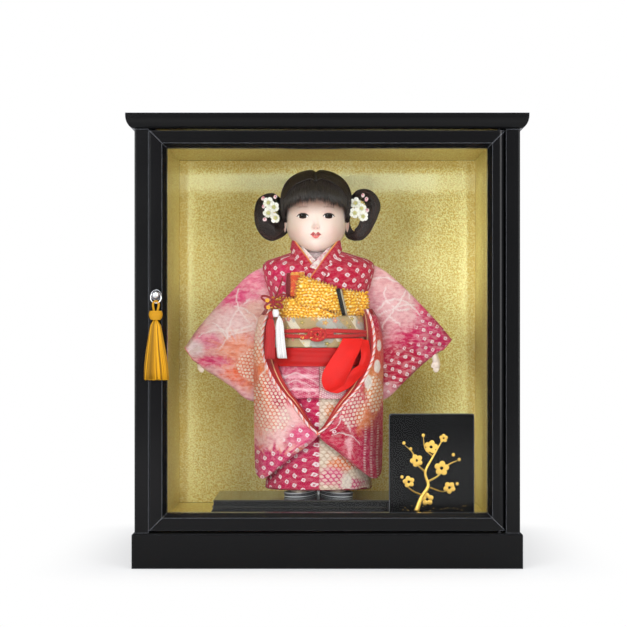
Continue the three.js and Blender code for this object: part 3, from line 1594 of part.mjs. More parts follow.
function obiBow(doll) {
  const w = bow_width / 2;
  const h = bow_height / 2;
  const z = mix(obi_bottom, obi_top, 0.6);
  const half_shares = [
    [0.16, 0.2],
    [0.55, 0.72],
    [0.95, 1],
    [1, 0.6],
    [0.9, 0.1],
    [1, -0.5],
    [0.86, -1],
    [0.4, -0.8],
    [0.16, -0.35],
  ];
  const half = half_shares.map(([u, v]) => [u * w, v * h]);
  const outline = [...half, ...half.map(([x, y]) => [-x, y]).reverse()];
  const shape = new THREE.Shape(outline.map(([x, y]) => new THREE.Vector2(x, y)));
  const bevel = bow_depth / 4;
  const loops = new THREE.ExtrudeGeometry(shape, {
    depth: bow_depth - 2 * bevel,
    bevelThickness: bevel,
    bevelSize: bevel,
    bevelOffset: -bevel,
    bevelSegments: 2,
  });
  loops.rotateX(Math.PI / 2).translate(0, obi_form.aft + seat_gap * 2 + bow_depth - bevel, z);
  const middle = ball(0, obi_form.aft + bow_depth / 2, z, w * 0.2, bow_depth * 0.6, h * 0.34, 14);
  const cord_room = tower(obi_form, obijime_radius * 3).intersect(
    block(-case_half, case_half, 0, case_half,
      obijime_height - obijime_spacing / 2 - obijime_radius * 1.5,
      obijime_height + obijime_spacing / 2 + obijime_radius * 1.5),
  );
  add("obi_bow", cut(join(solid(loops), middle), tower(obi_form, seat_gap), cord_room,
    tower(bodice, cloth_gap)), beige_brocade, doll);
}

// Things tucked in or hung at the chest.
function pouch(doll) {
  const base = mix(obi_top, obiage_peak, 0.5);
  const right = -obiage_half_width * 0.3;
  const rows = [0, 0.5, 1].map((t) => [base + pouch_height * t, right - pouch_width, right]);
  const form = wrap({
    rows,
    steps: 3,
    columns: 5,
    lift: cloth_gap,
    thickness: pouch_thickness,
    depthAt: (x, z) => frontOf(bodice, x, z),
  });
  add("brocade_pouch", cut(form, obiageForm(seat_gap), outerCollar(seat_gap)), orange_brocade,
    doll);
}

// The closed fan is tucked between the obi and the scarf, leaning inwards.
function fanForm(grow) {
  const foot = obiage_half_width * fan_place_share;
  const head = foot - fan_height * Math.tan(2 * Math.PI * fan_lean_share);
  const z0 = obi_top + seat_gap - grow;
  const z1 = obi_top + fan_height + grow;
  const half = fan_width / 2 + grow;
  const outline = [
    [foot - half, z0],
    [foot + half, z0],
    [head + half, z1],
    [head - half, z1],
  ];
  const near = obi_form.fore - fan_thickness * fan_tuck_share;
  return prismY(outline, -near - fan_thickness - grow, -near + grow);
}

function foldingFan(doll) {
  add("folding_fan", fanForm(0), black_lacquer, doll);
}

// A cord with a bow, and two tassels side by side under one round knot.
function pouchTassels(doll) {
  const x = -obiage_half_width;
  const top = obi_top + pouch_knot_radius;
  const y = -drop_depth(x) - drop_thickness - pouch_tassel_radius * 0.5;
  const tuft = (side) => ({
    rows: [
      [0, 1, 0.9],
      [0.5, 0.9, 1],
      [0.85, 0.7, 0.8],
      [1, 0.4, 0.5],
    ].map(([z, w, d]) => [z, w, d, d]),
    base: top - pouch_tassel_length,
    height: pouch_tassel_length,
    half: pouch_tassel_radius,
    fore: pouch_tassel_radius * 0.7,
    aft: pouch_tassel_radius * 0.7,
    x: x + side * pouch_tassel_radius * 0.85,
    y,
    steps: 3,
    sides: 9,
  });
  const knot = ball(x, y, top, pouch_knot_radius, pouch_knot_radius, pouch_knot_radius * 1.2, 8);
  const loops = [-1, 1].map((side) => {
    const path = Array.from({ length: 8 }, (_, i) => {
      const angle = (2 * Math.PI * i) / 8;
      return vec(
        x + side * pouch_bow_radius * 0.9 * (1 + Math.cos(angle)),
        y,
        top + pouch_bow_radius + pouch_bow_radius * 0.5 * Math.sin(angle),
      );
    });
    return cord(path, 10, () => pouch_cord_radius, 5, true);
  });
  const tied_x = x * 0.78;
  const tied = vec(tied_x, -frontOf(bodice, tied_x, obi_top), mix(obi_top, obiage_peak, 0.3));
  const stem = cord([vec(x, y, top), vec(x, y, top + pouch_bow_radius),
    vec(mix(x, tied_x, 0.4), mix(y, tied.y, 0.4), top + pouch_bow_radius * 1.5), tied], 5,
  () => pouch_cord_radius * 1.4, 5);
  const room = join(obiageForm(seat_gap), tower(obi_form, seat_gap), tower(bodice, cloth_gap),
    sleeveDrop(-1, seat_gap));
  add("pouch_tassels", cut(join(tower(tuft(-1)), tower(tuft(1)), knot, ...loops, stem), room),
    red_cloth, doll);
}

// The whole object
plinth();
boards();
topBoard();
const door = new THREE.Group();
group.add(door);
doorFrame(door);
doorGlass(door);
doorPins(door);
turnCatch(door);
tassel(door);
platform();
namePlate();
const doll = new THREE.Group();
doll.position.set(doll_shift, doll_y, sole_height);
group.add(doll);
dollBody(doll);
arm(doll, -1);
arm(doll, 1);
headAndHair(doll);
kimono(doll);
sleeves(doll);
collars(doll);
for (const piece of [sash, obijime, obiage, obiBow, pouch, foldingFan, pouchTassels]) {
  piece(doll);
}
add("obi", cut(tower(obi_form), tower(bodice, cloth_gap)), beige_brocade, doll);

export default group;
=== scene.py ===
"""A girl doll in a long-sleeved kimono in its gold-lined display case, dressed for the render."""

import json
import math
import random

import bmesh
import bpy
import numpy as np
from mathutils import Matrix, Vector


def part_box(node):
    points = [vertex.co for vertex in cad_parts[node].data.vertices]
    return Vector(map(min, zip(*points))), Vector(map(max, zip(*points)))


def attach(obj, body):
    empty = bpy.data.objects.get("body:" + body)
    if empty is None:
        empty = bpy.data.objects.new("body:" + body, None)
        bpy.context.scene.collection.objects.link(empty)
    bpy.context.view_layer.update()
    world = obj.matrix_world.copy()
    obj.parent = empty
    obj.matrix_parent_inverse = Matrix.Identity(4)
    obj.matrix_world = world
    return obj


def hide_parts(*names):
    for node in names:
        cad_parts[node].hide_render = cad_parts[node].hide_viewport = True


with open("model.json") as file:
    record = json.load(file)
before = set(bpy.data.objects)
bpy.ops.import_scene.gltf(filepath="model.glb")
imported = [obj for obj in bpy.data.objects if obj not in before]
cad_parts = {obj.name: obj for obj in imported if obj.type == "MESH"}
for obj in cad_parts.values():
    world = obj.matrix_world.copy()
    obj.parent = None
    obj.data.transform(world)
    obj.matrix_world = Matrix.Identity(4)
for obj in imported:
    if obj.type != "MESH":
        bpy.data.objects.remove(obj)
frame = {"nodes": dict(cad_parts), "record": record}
nodes = frame["nodes"]
MM = 0.001
TAU = 2 * math.pi
DOLL = Vector((-9.6, 11.3, 57.9))  # the doll's axis and soles, in millimetres
NECK_X = -2.6  # where the neck stands, from the doll's axis
GIRTH = 47  # the cloth's run round the waist for each radian
SIDES = {-1: "left", 1: "right"}


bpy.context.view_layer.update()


# Shaders


class Value:
    """An output socket in a shader's tree. Arithmetic with it adds math nodes."""

    def __init__(self, shader, socket):
        self.shader, self.socket = shader, socket

    def __add__(self, other):
        return self.shader.math("ADD", self, other)

    def __sub__(self, other):
        return self.shader.math("SUBTRACT", self, other)

    def __rsub__(self, other):
        return self.shader.math("SUBTRACT", other, self)

    def __mul__(self, other):
        return self.shader.math("MULTIPLY", self, other)

    def __abs__(self):
        return self.shader.math("ABSOLUTE", self)


class Shader:
    """A material's node tree. Each method adds a node and gives back its output."""

    def __init__(self, name):
        self.material = bpy.data.materials.new(name)
        self.material.use_nodes = True
        self.tree = self.material.node_tree
        self.tree.nodes.clear()
        self.out = self.tree.nodes.new("ShaderNodeOutputMaterial")

    def put(self, value, socket):
        """Links a value to an input, or sets the input to a number, vector or colour."""
        if isinstance(value, Value):
            self.tree.links.new(value.socket, socket)
        else:
            if socket.type == "RGBA" and len(value) == 3:
                value = (*value, 1)
            socket.default_value = value

    def node(self, kind, values=None, output=0, **settings):
        made = self.tree.nodes.new(kind)
        for key, value in settings.items():
            setattr(made, key, value)
        for key, value in (values or {}).items():
            self.put(value, made.inputs[key])
        return Value(self, made.outputs[output])

    def math(self, operation, *values):
        return self.node("ShaderNodeMath", dict(enumerate(values)), operation=operation)

    def step(self, value, low, high):
        """0 below low, 1 above high, and smooth between them."""
        return self.node(
            "ShaderNodeMapRange",
            {"Value": value, "From Min": low, "From Max": high},
            interpolation_type="SMOOTHSTEP",
        )

    def fall(self, value, low, high):
        """1 below low, 0 above high, and smooth between them."""
        return 1 - self.step(value, low, high)

    def place(self):
        return self.node("ShaderNodeTexCoord", output="Object")

    def uv(self):
        return self.node("ShaderNodeUVMap", uv_map="uv")

    def dye(self):
        """The colour that comes with the mesh."""
        return self.node("ShaderNodeAttribute", attribute_name="dye")

    def split(self, kind, value):
        made = self.tree.nodes.new(kind)
        self.put(value, made.inputs[0])
        return [Value(self, socket) for socket in made.outputs]

    def marks(self):
        """The three amounts of pattern that come with the mesh."""
        return self.split("ShaderNodeSeparateColor",
                          self.node("ShaderNodeAttribute", attribute_name="marks"))

    def parts(self, vector):
        return self.split("ShaderNodeSeparateXYZ", vector)

    def moved(self, vector, scale=(1, 1, 1), turn=(0, 0, 0)):
        return self.node("ShaderNodeMapping",
                         {"Vector": vector, "Scale": scale, "Rotation": turn})

    def vectors(self, operation, a, b, output=0):
        return self.node("ShaderNodeVectorMath", {0: a, 1: b}, output, operation=operation)

    def noise(self, vector, scale, detail=3.0, rough=0.5, output=0, twist=0.0):
        values = {"Vector": vector, "Scale": scale, "Detail": detail, "Roughness": rough,
                  "Distortion": twist}
        return self.node("ShaderNodeTexNoise", values, output)

    def cells(self, vector, scale, feature="F1", output=0, spread=1.0):
        values = {"Vector": vector, "Scale": scale, "Randomness": spread}
        return self.node("ShaderNodeTexVoronoi", values, output, feature=feature)

    def wave(self, vector, scale, direction, twist=0.0):
        values = {"Vector": vector, "Scale": scale, "Distortion": twist}
        return self.node("ShaderNodeTexWave", values, 1, bands_direction=direction)

    def blend(self, share, a, b, how="MIX"):
        """Colour a, going over to colour b by the share."""
        return self.node("ShaderNodeMix", {0: share, 6: a, 7: b}, 2, data_type="RGBA",
                         blend_type=how)

    def ramp(self, share, *stops):
        made = self.tree.nodes.new("ShaderNodeValToRGB")
        self.put(share, made.inputs[0])
        elements = made.color_ramp.elements
        while len(elements) < len(stops):
            elements.new(0.5)
        for element, (where, colour) in zip(elements, stops):
            element.position = where
            element.color = (*colour, 1)
        return Value(self, made.outputs[0])

    def bump(self, height, distance, strength=1.0, **more):
        return self.node("ShaderNodeBump",
                         {"Height": height, "Distance": distance, "Strength": strength, **more})

    def show(self, shader):
        self.put(shader, self.out.inputs["Surface"])
        return self.material

    def surface(self, colour, roughness, normal, **more):
        """The principled surface. Words with _ stand for its input names."""
        values = {"Base Color": colour, "Roughness": roughness, "Normal": normal}
        for key, value in more.items():
            values[key.replace("_", " ").title().replace("Ior", "IOR")] = value
        return self.show(self.node("ShaderNodeBsdfPrincipled", values))


def rgb(red, green, blue):
    """A colour given as it shows on a screen, 0 to 255, as linear light."""
    shares = (red / 255, green / 255, blue / 255)
    return tuple(((v + 0.055) / 1.055) ** 2.4 if v > 0.04 else v / 12.92 for v in shares)


def lacquer(name, shine=0.16, edge_highlight=0.7, specks=0.25, matt_above=1.0):
    """Black lacquer with each edge painted paler as a highlight, a few specks, and matt above a
    height in metres.
    """
    s = Shader(name)
    place = s.place()
    peel = s.noise(place, 900, 2)
    wide = s.noise(place, 14, 2)
    dust = s.ramp(s.noise(place, 260, 4, 0.6), (0.62, (0, 0, 0)), (0.9, (1, 1, 1)))
    # Each edge, where the bevelled normal turns from the flat one, is painted paler as a highlight.
    rounded = s.node("ShaderNodeBevel", {"Radius": 0.0009}, samples=4)
    flat = s.node("ShaderNodeNewGeometry", output="True Normal")
    edge = s.fall(s.vectors("DOT_PRODUCT", rounded, flat, 1), 0.86, 0.985)
    colour = s.blend(dust * specks, rgb(8, 8, 9), rgb(22, 22, 24))
    colour = s.blend(edge * edge_highlight, colour, rgb(128, 131, 138))
    matt = s.step(s.parts(place)[2], matt_above, matt_above + 0.0002)
    return s.surface(colour, wide * 0.08 + 0.12 + matt * 0.75, s.bump(peel, 0.00003),
                     Specular_Ior_Level=shine)


def foil(name, cove_and_painted_light=0.0):
    """Gold paper with a fine leathery grain, the raised grain painted lighter as glints, and a few
    soft vertical waves. On the back wall it curves forward below the ceiling; there and along its
    two sides a painted highlight brightens it, and painted shade darkens its corners."""
    s = Shader(name)
    place = s.place()
    grain = s.noise(place, 560, 4, 0.62)
    pores = s.cells(place, 640, "SMOOTH_F1")
    broad = s.noise(s.moved(place, (1, 1, 0.12)), 26, 2)
    height = grain * 0.7 + pores * 0.5
    normal = s.bump(broad, 0.004, 0.5, Normal=s.bump(height, 0.0007, 0.9))
    # The raised grain is painted lighter as glints.
    grain_glint = s.ramp(height, (0.42, (0, 0, 0)), (0.68, (1, 1, 1)))
    tarnish = s.step(s.noise(place, 9, 3), 0.3, 0.7)
    colour = s.blend(grain_glint, rgb(222, 196, 106), rgb(255, 253, 200))
    colour = s.blend(tarnish * 0.25, colour, rgb(222, 194, 106))
    x, y, z = s.parts(place)
    aside, above = 0.174 - abs(x), 0.4388 - z  # how far from a side wall and the ceiling
    inward = s.math("SMOOTH_MIN", aside, above, 0.012)
    # A painted highlight in a band below the ceiling and in strips along the sides, brighter in
    # patches.
    band = s.step(above, 0.013, 0.019) * s.fall(above, 0.028, 0.046)
    strip = s.step(aside, 0.008, 0.011) * s.fall(aside, 0.012, 0.024)
    cove = s.fall(above, 0.012, 0.04) * cove_and_painted_light
    normal = s.bump(cove, 0.005, 1.0, Normal=normal)
    patchy = s.step(s.noise(place, 11, 2), 0.35, 0.6) * 0.4 + 0.6
    painted_highlight = s.math("MAXIMUM", band, strip * 0.6) * (patchy * cove_and_painted_light)
    colour = s.blend(painted_highlight * (grain_glint * 0.25 + 0.7), colour, rgb(255, 254, 205))
    # Painted shade in the corners along the side walls and the ceiling.
    corner_shade = s.fall(inward, 0.006, 0.013) * cove_and_painted_light
    colour = s.blend(corner_shade * 0.4, colour, rgb(190, 156, 76))
    # The paper is painted near black where it lies more than 114 mm in front of the case's middle.
    colour = s.blend(s.step(y, -0.1142, -0.1138), rgb(20, 18, 16), colour)
    return s.surface(colour, grain * 0.2 + 0.36 - painted_highlight * 0.12, normal, Metallic=0.85,
                     Specular_Ior_Level=0.6)


def glass():
    """Clear glass that lets light and shadow through, with a thin reflection."""
    s = Shader("clear_glass")
    clear = s.node("ShaderNodeBsdfTransparent", {"Color": (0.985, 0.99, 0.985)})
    gloss = s.node("ShaderNodeBsdfGlossy", {"Roughness": 0.02, "Color": (1, 1, 1)})
    facing = s.node("ShaderNodeFresnel", {"IOR": 1.2})
    outside = 1 - s.node("ShaderNodeNewGeometry", output="Backfacing")
    smear = s.noise(s.place(), 14, 2) * 0.1 + 0.9
    return s.show(s.node("ShaderNodeMixShader",
                         {0: facing * outside * smear, 1: clear, 2: gloss}))


def metal(name, colour, rough, grain=0.00001, metallic=1.0):
    s = Shader(name)
    place = s.place()
    fine = s.noise(place, 2200, 2)
    smear = s.noise(place, 300, 3)
    return s.surface(colour, smear * 0.12 + rough, s.bump(fine, grain), Metallic=metallic)


# Each lacquer's rims are painted paler as highlights, the stand's most.
BLACK = lacquer("black_lacquer")
STAND = lacquer("stand_lacquer", shine=0.5, edge_highlight=0.9, specks=0.0)
SILL = lacquer("sill_lacquer", matt_above=0.0348)
GOLD = foil("gold_paper")
# Only the back wall takes the cove, the painted highlight and the corner shade.
GOLD_BACK = foil("gold_paper_back", cove_and_painted_light=1.0)
GLASS = glass()
CHROME = metal("chrome", (0.72, 0.72, 0.74, 1), 0.04)
STEEL = metal("steel", (0.62, 0.62, 0.63, 1), 0.22)
DARK_STEEL = metal("blackened_steel", (0.03, 0.03, 0.032, 1), 0.5)
HARD = {
    "black_lacquer": BLACK,
    "gold_paper": GOLD,
    "clear_glass": GLASS,
    "chrome": CHROME,
    "steel": STEEL,
}
OWN_FINISH = {
    "gold_lining_back": GOLD_BACK,
    "platform": STAND,
    "plinth_front": SILL,
    "bottom_board": SILL,
    "pivot_pin_top": DARK_STEEL,
    "pivot_pin_bottom": DARK_STEEL,
}
for part in frame["record"]["subparts"]:
    finish = HARD.get(part.get("material_slot") or part.get("slot"))
    if finish:
        for name in part.get("nodes") or [part.get("node") or part["id"]]:
            nodes[name].data.materials.clear()
            nodes[name].data.materials.append(OWN_FINISH.get(name, finish))


# Forms, in millimetres from the doll's axis and soles


def noise2(x, y, seed=0):
    """Smooth value noise from -1 to 1."""
    x, y = np.broadcast_arrays(np.asarray(x, float), np.asarray(y, float))
    i, j = np.floor(x).astype(np.int64), np.floor(y).astype(np.int64)
    f, g = x - i, y - j
    f, g = f * f * (3 - 2 * f), g * g * (3 - 2 * g)

    def corner(a, b):
        n = (a * 374761393 + b * 668265263 + seed * 974634777) & 0xFFFFFFFF
        n = ((n ^ (n >> 13)) * 1274126177) & 0xFFFFFFFF
        return ((n ^ (n >> 16)) & 0xFFFF) / 32767.5 - 1

    low = corner(i, j) * (1 - f) + corner(i + 1, j) * f
    high = corner(i, j + 1) * (1 - f) + corner(i + 1, j + 1) * f
    return low * (1 - g) + high * g


def cloud(x, y, seed=0, octaves=3):
    return sum(noise2(x * 2**k, y * 2**k, seed + k) / 2**k for k in range(octaves)) / 1.6


def smooth(value, low, high):
    t = np.clip((np.asarray(value, float) - low) / (high - low), 0, 1)
    return t * t * (3 - 2 * t)


def bell(x, spread):
    return np.exp(-((np.asarray(x, float) / spread) ** 2))


def mix(a, b, t):
    return a + (b - a) * t


def join(*columns):
    """Points, uvs or marks from one array for each of their numbers."""
    return np.stack(np.broadcast_arrays(*columns), -1)


def axes(points):
    """The views of the points' x, y and z, which change when the points do."""
    return points[..., 0], points[..., 1], points[..., 2]


def unit(vectors):
    return vectors / np.maximum(np.linalg.norm(vectors, axis=-1, keepdims=True), 1e-9)


def turn_of(count):
    """Angles once round."""
    return np.linspace(0, TAU, count, endpoint=False)


def tinted(base, colour, share):
    """The base colours with another laid over them, by its share at each place."""
    base = np.asarray(base)
    return base + (np.asarray(colour) - base) * share[..., None]


def shaded(colour, tone):
    return tuple(v * tone for v in colour)


def through(rows):
    """A smooth line through rows of numbers, over 0 to 1."""
    data = np.array(rows, float)
    data = np.vstack([2 * data[0] - data[1], data, 2 * data[-1] - data[-2]])
    last = len(rows) - 1

    def at(t):
        t = np.clip(np.asarray(t, float), 0, 1) * last
        i = np.minimum(t.astype(int), last - 1)
        f = (t - i)[..., None]
        a, b, c, d = data[i], data[i + 1], data[i + 2], data[i + 3]
        cubic = -a + 3 * b - 3 * c + d
        return 0.5 * (2 * b + (c - a) * f + (2 * a - 5 * b + 4 * c - d) * f**2 + cubic * f**3)

    return at


def line_through(rows, count):
    return through(rows)(np.linspace(0, 1, count))


def tower(form, steps, sides, grow=0.0, t=None, dense=0.0):
    """Points on a standing form, its rows from the foot up and its columns round from behind."""
    t = np.linspace(0, 1, steps + 1) if t is None else t
    up, wide, ahead, behind = form["at"](t).T[..., None]
    s = np.linspace(-1, 1, sides, endpoint=False)
    angle = -math.pi / 2 + math.pi * (s * (1 - dense) + dense * s**3)
    angle = np.broadcast_to(angle, (len(t), sides))
    c, d = np.cos(angle), np.sin(angle)
    power = 2 / form["square"]
    depth = np.where(d < 0, ahead * form["fore"], behind * form["aft"]) + grow
    x = np.sign(c) * np.abs(c) ** power * (wide * form["half"] + grow) + form["x"]
    y = np.sign(d) * np.abs(d) ** power * depth
    z = form["base"] + up * form["height"]
    return join(x, y, z), angle, np.broadcast_to(t[:, None], x.shape)


def form(rows, base, height, half, fore, aft, square=2.0, x=0.0):
    """A standing form: rows of its height and of the shares of half, fore and aft there."""
    return dict(at=through(rows), base=base, height=height, half=half, fore=fore, aft=aft,
                square=square, x=x)


def front_of(shape, x, z):
    """How far in front of the axis a form's surface lies."""
    x, z = np.broadcast_arrays(np.asarray(x, float), np.asarray(z, float))
    target = (z - shape["base"]) / shape["height"]
    table = np.linspace(0, 1, 400)
    rows = shape["at"](table)
    t = np.interp(target, rows[:, 0], table)
    wide, ahead = np.interp(t, table, rows[:, 1]), np.interp(t, table, rows[:, 2])
    across = np.minimum(1, np.abs(x - shape["x"]) / (wide * shape["half"]))
    return ahead * shape["fore"] * (1 - across ** shape["square"]) ** (1 / shape["square"])


def normals(points, loop=False):
    du = np.gradient(points, axis=1)
    if loop:
        du = (np.roll(points, -1, 1) - np.roll(points, 1, 1)) / 2
    return unit(np.cross(du, np.gradient(points, axis=0)))


class Pile:
    """One mesh gathered from grids and tubes. Columns run round, rows run up."""

    def __init__(self):
        self.verts, self.faces, self.uvs, self.dyes, self.marks = [], [], [], [], []
        self.count = 0

    def grid(self, points, loop=False, uv=None, dye=(1, 1, 1), marks=(0, 0, 0), keep=None):
        points = np.asarray(points, float)
        rows, cols = points.shape[:2]
        r = np.arange(rows - 1)[:, None]
        c = np.arange(cols if loop else cols - 1)[None, :]
        n = (c + 1) % cols
        quads = np.stack([r * cols + c, r * cols + n, (r + 1) * cols + n, (r + 1) * cols + c], -1)
        if uv is None:
            uv = join(np.linspace(0, 1, cols + loop), np.linspace(0, 1, rows)[:, None])
        corner = np.stack([uv[r, c], uv[r, c + 1], uv[r + 1, c + 1], uv[r + 1, c]], -2)
        quads, corner = quads.reshape(-1, 4), corner.reshape(-1, 4, 2)
        if keep is not None:
            kept = keep.reshape(-1)[quads].all(1)
            quads, corner = quads[kept], corner[kept]
        self.verts.append(points.reshape(-1, 3))
        self.faces.append(quads + self.count)
        self.uvs.append(corner.reshape(-1, 2))
        for store, value in ((self.dyes, dye), (self.marks, marks)):
            store.append(np.broadcast_to(value, (rows, cols, 3)).reshape(-1, 3))
        self.count += rows * cols
        return self

    def tube(self, path, radius, sides=6, loop=False, dye=(1, 1, 1), squash=1.0):
        """A round tube along a path, closed at its ends."""
        path = np.asarray(path, float)
        if loop:
            ahead = np.roll(path, -1, 0) - np.roll(path, 1, 0)
        else:
            ahead = np.gradient(path, axis=0)
        ahead = unit(ahead)
        side = np.zeros_like(path)
        last = np.cross(ahead[0], (0.31, 0.87, 0.38))
        for i, a in enumerate(ahead):
            last = side[i] = unit(last - a * last.dot(a))
        up = np.cross(ahead, side)
        radius = np.broadcast_to(radius, len(path))[:, None, None]
        angle = (np.arange(sides) * TAU / sides)[:, None]
        ring = side[:, None] * np.cos(angle) + up[:, None] * np.sin(angle) * squash
        points = path[:, None] + ring * radius
        dye = np.asarray(dye, float)
        rows = np.arange(len(path))
        if loop:
            points = np.concatenate([points, points[:1]])
            rows = np.append(rows, 0)
        else:
            points = np.concatenate([path[:1, None] + 0 * points[:1], points,
                                     path[-1:, None] + 0 * points[-1:]])
            rows = np.pad(rows, 1, "edge")
        dye = dye if dye.ndim == 1 else dye[rows][:, None]
        return self.grid(points, True, dye=dye)

    def ball(self, centre, radii, sides, dye=(1, 1, 1)):
        t = np.linspace(0, math.pi, sides // 2 + 2)[:, None]
        a = np.arange(sides) * TAU / sides
        shell = join(np.sin(t) * np.cos(a), np.sin(t) * np.sin(a), -np.cos(t))
        return self.grid(np.array(centre) + shell * np.array(radii), True, dye=dye)

    def object(self, name, material, body, *replaced, slot, origin=DOLL):
        """The object, riding a body, which stands for the CAD nodes it replaces."""
        verts = (np.concatenate(self.verts) + np.array(origin)) * MM
        faces = np.concatenate(self.faces)
        mesh = bpy.data.meshes.new(name)
        mesh.from_pydata(verts.tolist(), [], faces.tolist())
        layer = mesh.uv_layers.new(name="uv")
        layer.data.foreach_set("uv", np.concatenate(self.uvs).ravel())
        for label, store in (("dye", self.dyes), ("marks", self.marks)):
            colours = np.concatenate(store)
            colours = np.hstack([colours, np.ones((len(colours), 1))]).ravel()
            mesh.color_attributes.new(label, "FLOAT_COLOR", "POINT").data.foreach_set(
                "color", colours)
        mesh.validate()
        tidy = bmesh.new()
        tidy.from_mesh(mesh)
        bmesh.ops.remove_doubles(tidy, verts=tidy.verts, dist=1e-6)
        bmesh.ops.recalc_face_normals(tidy, faces=tidy.faces)
        tidy.to_mesh(mesh)
        tidy.free()
        mesh.polygons.foreach_set("use_smooth", [True] * len(mesh.polygons))
        mesh.materials.append(material)
        made = bpy.data.objects.new(name, mesh)
        bpy.context.scene.collection.objects.link(made)
        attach(made, body)
        if replaced:
            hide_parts(*replaced)
        return made


# Cloth


def fabric(name, gloss=0.72, sheen=0.15, crest_highlight=0.1):
    """Crepe whose dye comes with the mesh, with tie-dyed rings, knots and stitched lines."""
    s = Shader(name)
    dye = s.dye()
    rings, knots, lines = s.marks()
    uv = s.uv()
    place = s.place()
    wobble = s.node("ShaderNodeVectorMath", {0: s.noise(uv, 1.1, 2, output=1), "Scale": 0.3},
                    operation="SCALE")
    p = s.vectors("ADD", uv, wobble)

    def cell(vector, power, ragged):
        """How far it is to the middle of the nearest cell, and the cell's own number."""
        """How far it is to the middle of the nearest cell, and the cell's own number."""
        x, y, _ = s.parts(vector)
        row = s.math("FLOOR", y)
        x = x + s.math("MODULO", row, 2.0) * 0.5
        fx, fy = (s.math("POWER", abs(s.math("FRACT", v) - 0.5), power) for v in (x, y))
        far = s.math("POWER", fx + fy, 1 / power)
        edge = (s.noise(vector, 7, 3) - 0.5) * ragged
        column_row = s.node("ShaderNodeCombineXYZ", {0: s.math("FLOOR", x), 1: row})
        number = s.node("ShaderNodeTexWhiteNoise", {0: column_row}, noise_dimensions="2D")
        return far + edge, number

    far, luck = cell(p, 3.2, 0.22)
    outer = s.fall(far, 0.175, 0.245)
    inner = s.fall(far, 0.065, 0.12)
    ring = (outer - inner * (luck * 0.6 + 0.35)) * rings
    far, luck = cell(s.moved(p, (2.15, 2.4, 1), (0, 0, 0.5)), 3.4, 0.3)
    knot = s.fall(far, 0.3, 0.44) * (knots * (luck * 0.5 + 0.55))
    fleck = s.step(s.noise(place, 1500, 2), 0.35, 0.6)
    line = lines * (fleck * 0.5 + 0.5)
    shade = s.noise(place, 240, 4, 0.6)
    ripple = s.noise(s.moved(place, (0.4, 1, 1)), 330, 3, 0.55)
    deeper = s.blend(0.12, dye, (0.25, 0.01, 0.04))
    ground = s.blend(s.step(shade, 0.35, 0.7), deeper, dye)
    # The ripple that bumps the crepe into wrinkles also colours it: paler on its crests as painted
    # highlight, darker in its troughs as painted shade.
    ground = s.blend(s.step(ripple, 0.42, 0.66) * crest_highlight, ground, (1.0, 0.9, 0.88))
    crease_shade = s.blend(1.0, ground, (0.72, 0.42, 0.46), "MULTIPLY")
    ground = s.blend(s.fall(ripple, 0.32, 0.5) * 0.38, ground, crease_shade)
    colour = s.blend(ring * 0.92, ground, rgb(250, 232, 238))
    colour = s.blend(knot * 0.88, colour, rgb(250, 236, 222))
    colour = s.blend(line * 0.85, colour, rgb(252, 240, 240))
    crepe = s.noise(place, 1350, 3, 0.6)
    weave = s.noise(s.moved(place, (1, 1, 0.35)), 2600, 2)
    raised = ring * 0.7 + (knot * 0.8 + line * 0.7)
    height = raised * 0.5 + (crepe * 0.55 + weave * 0.25) + ripple * 0.9
    return s.surface(colour, crepe * 0.12 + gloss, s.bump(height, 0.0014, 0.9),
                     Sheen_Weight=sheen, Sheen_Roughness=0.4, Specular_Ior_Level=0.25)


def painted(name, rough=0.5, fine=900, depth=0.0001, grain=0.06, **more):
    """A surface whose colour comes with the mesh."""
    s = Shader(name)
    dye = s.dye()
    fleck = s.noise(s.place(), fine, 3, 0.6)
    dark = s.blend(1.0, dye, (0.62, 0.58, 0.58), "MULTIPLY")
    colour = s.blend(s.step(fleck, 0.3, 0.75) * (grain * 4), dye, dark)
    return s.surface(colour, fleck * 0.12 + rough, s.bump(fleck, depth, 0.6), **more)


CRIMSON = rgb(196, 20, 62)
MAGENTA = rgb(214, 34, 92)
PALE = rgb(244, 205, 212)
CORAL = rgb(240, 110, 70)
ORANGE = rgb(238, 130, 50)
DARK_RED = rgb(150, 16, 20)
CREAM = rgb(246, 214, 160)

bodice = form(
    [[0, 0.87, 1, 1], [0.14, 0.84, 0.98, 0.99], [0.22, 0.8, 0.95, 0.97],
     [0.34, 0.76, 0.9, 0.93], [0.55, 0.78, 0.9, 0.92], [0.68, 0.86, 0.92, 0.92],
     [0.8, 0.96, 0.88, 0.86], [0.89, 1, 0.74, 0.72], [0.935, 0.92, 0.56, 0.58],
     [0.97, 0.66, 0.42, 0.46], [1, 0.42, 0.34, 0.42]],
    107.4, 159.7, 61, 41.5, 34, 2.2)
skirt = form([[0, 1, 1, 1], [0.3, 0.96, 1, 1], [0.7, 0.87, 0.95, 0.95], [1, 0.77, 0.86, 0.86]],
             9.6, 132.2, 58, 38, 34, 2.4)
belt = form([[0, 0.985, 0.985, 0.985], [0.5, 1, 1, 1], [1, 0.985, 0.985, 0.985]],
            162, 34.4, 52.4, 43.4, 37.4, 2.2)
sash_form = form([[0, 0.99, 1.02, 1], [0.5, 1.02, 1.03, 1.02], [1, 1, 1, 1]],
                 141.8, 19.9, 52.4, 43.4, 37.4, 2.2)


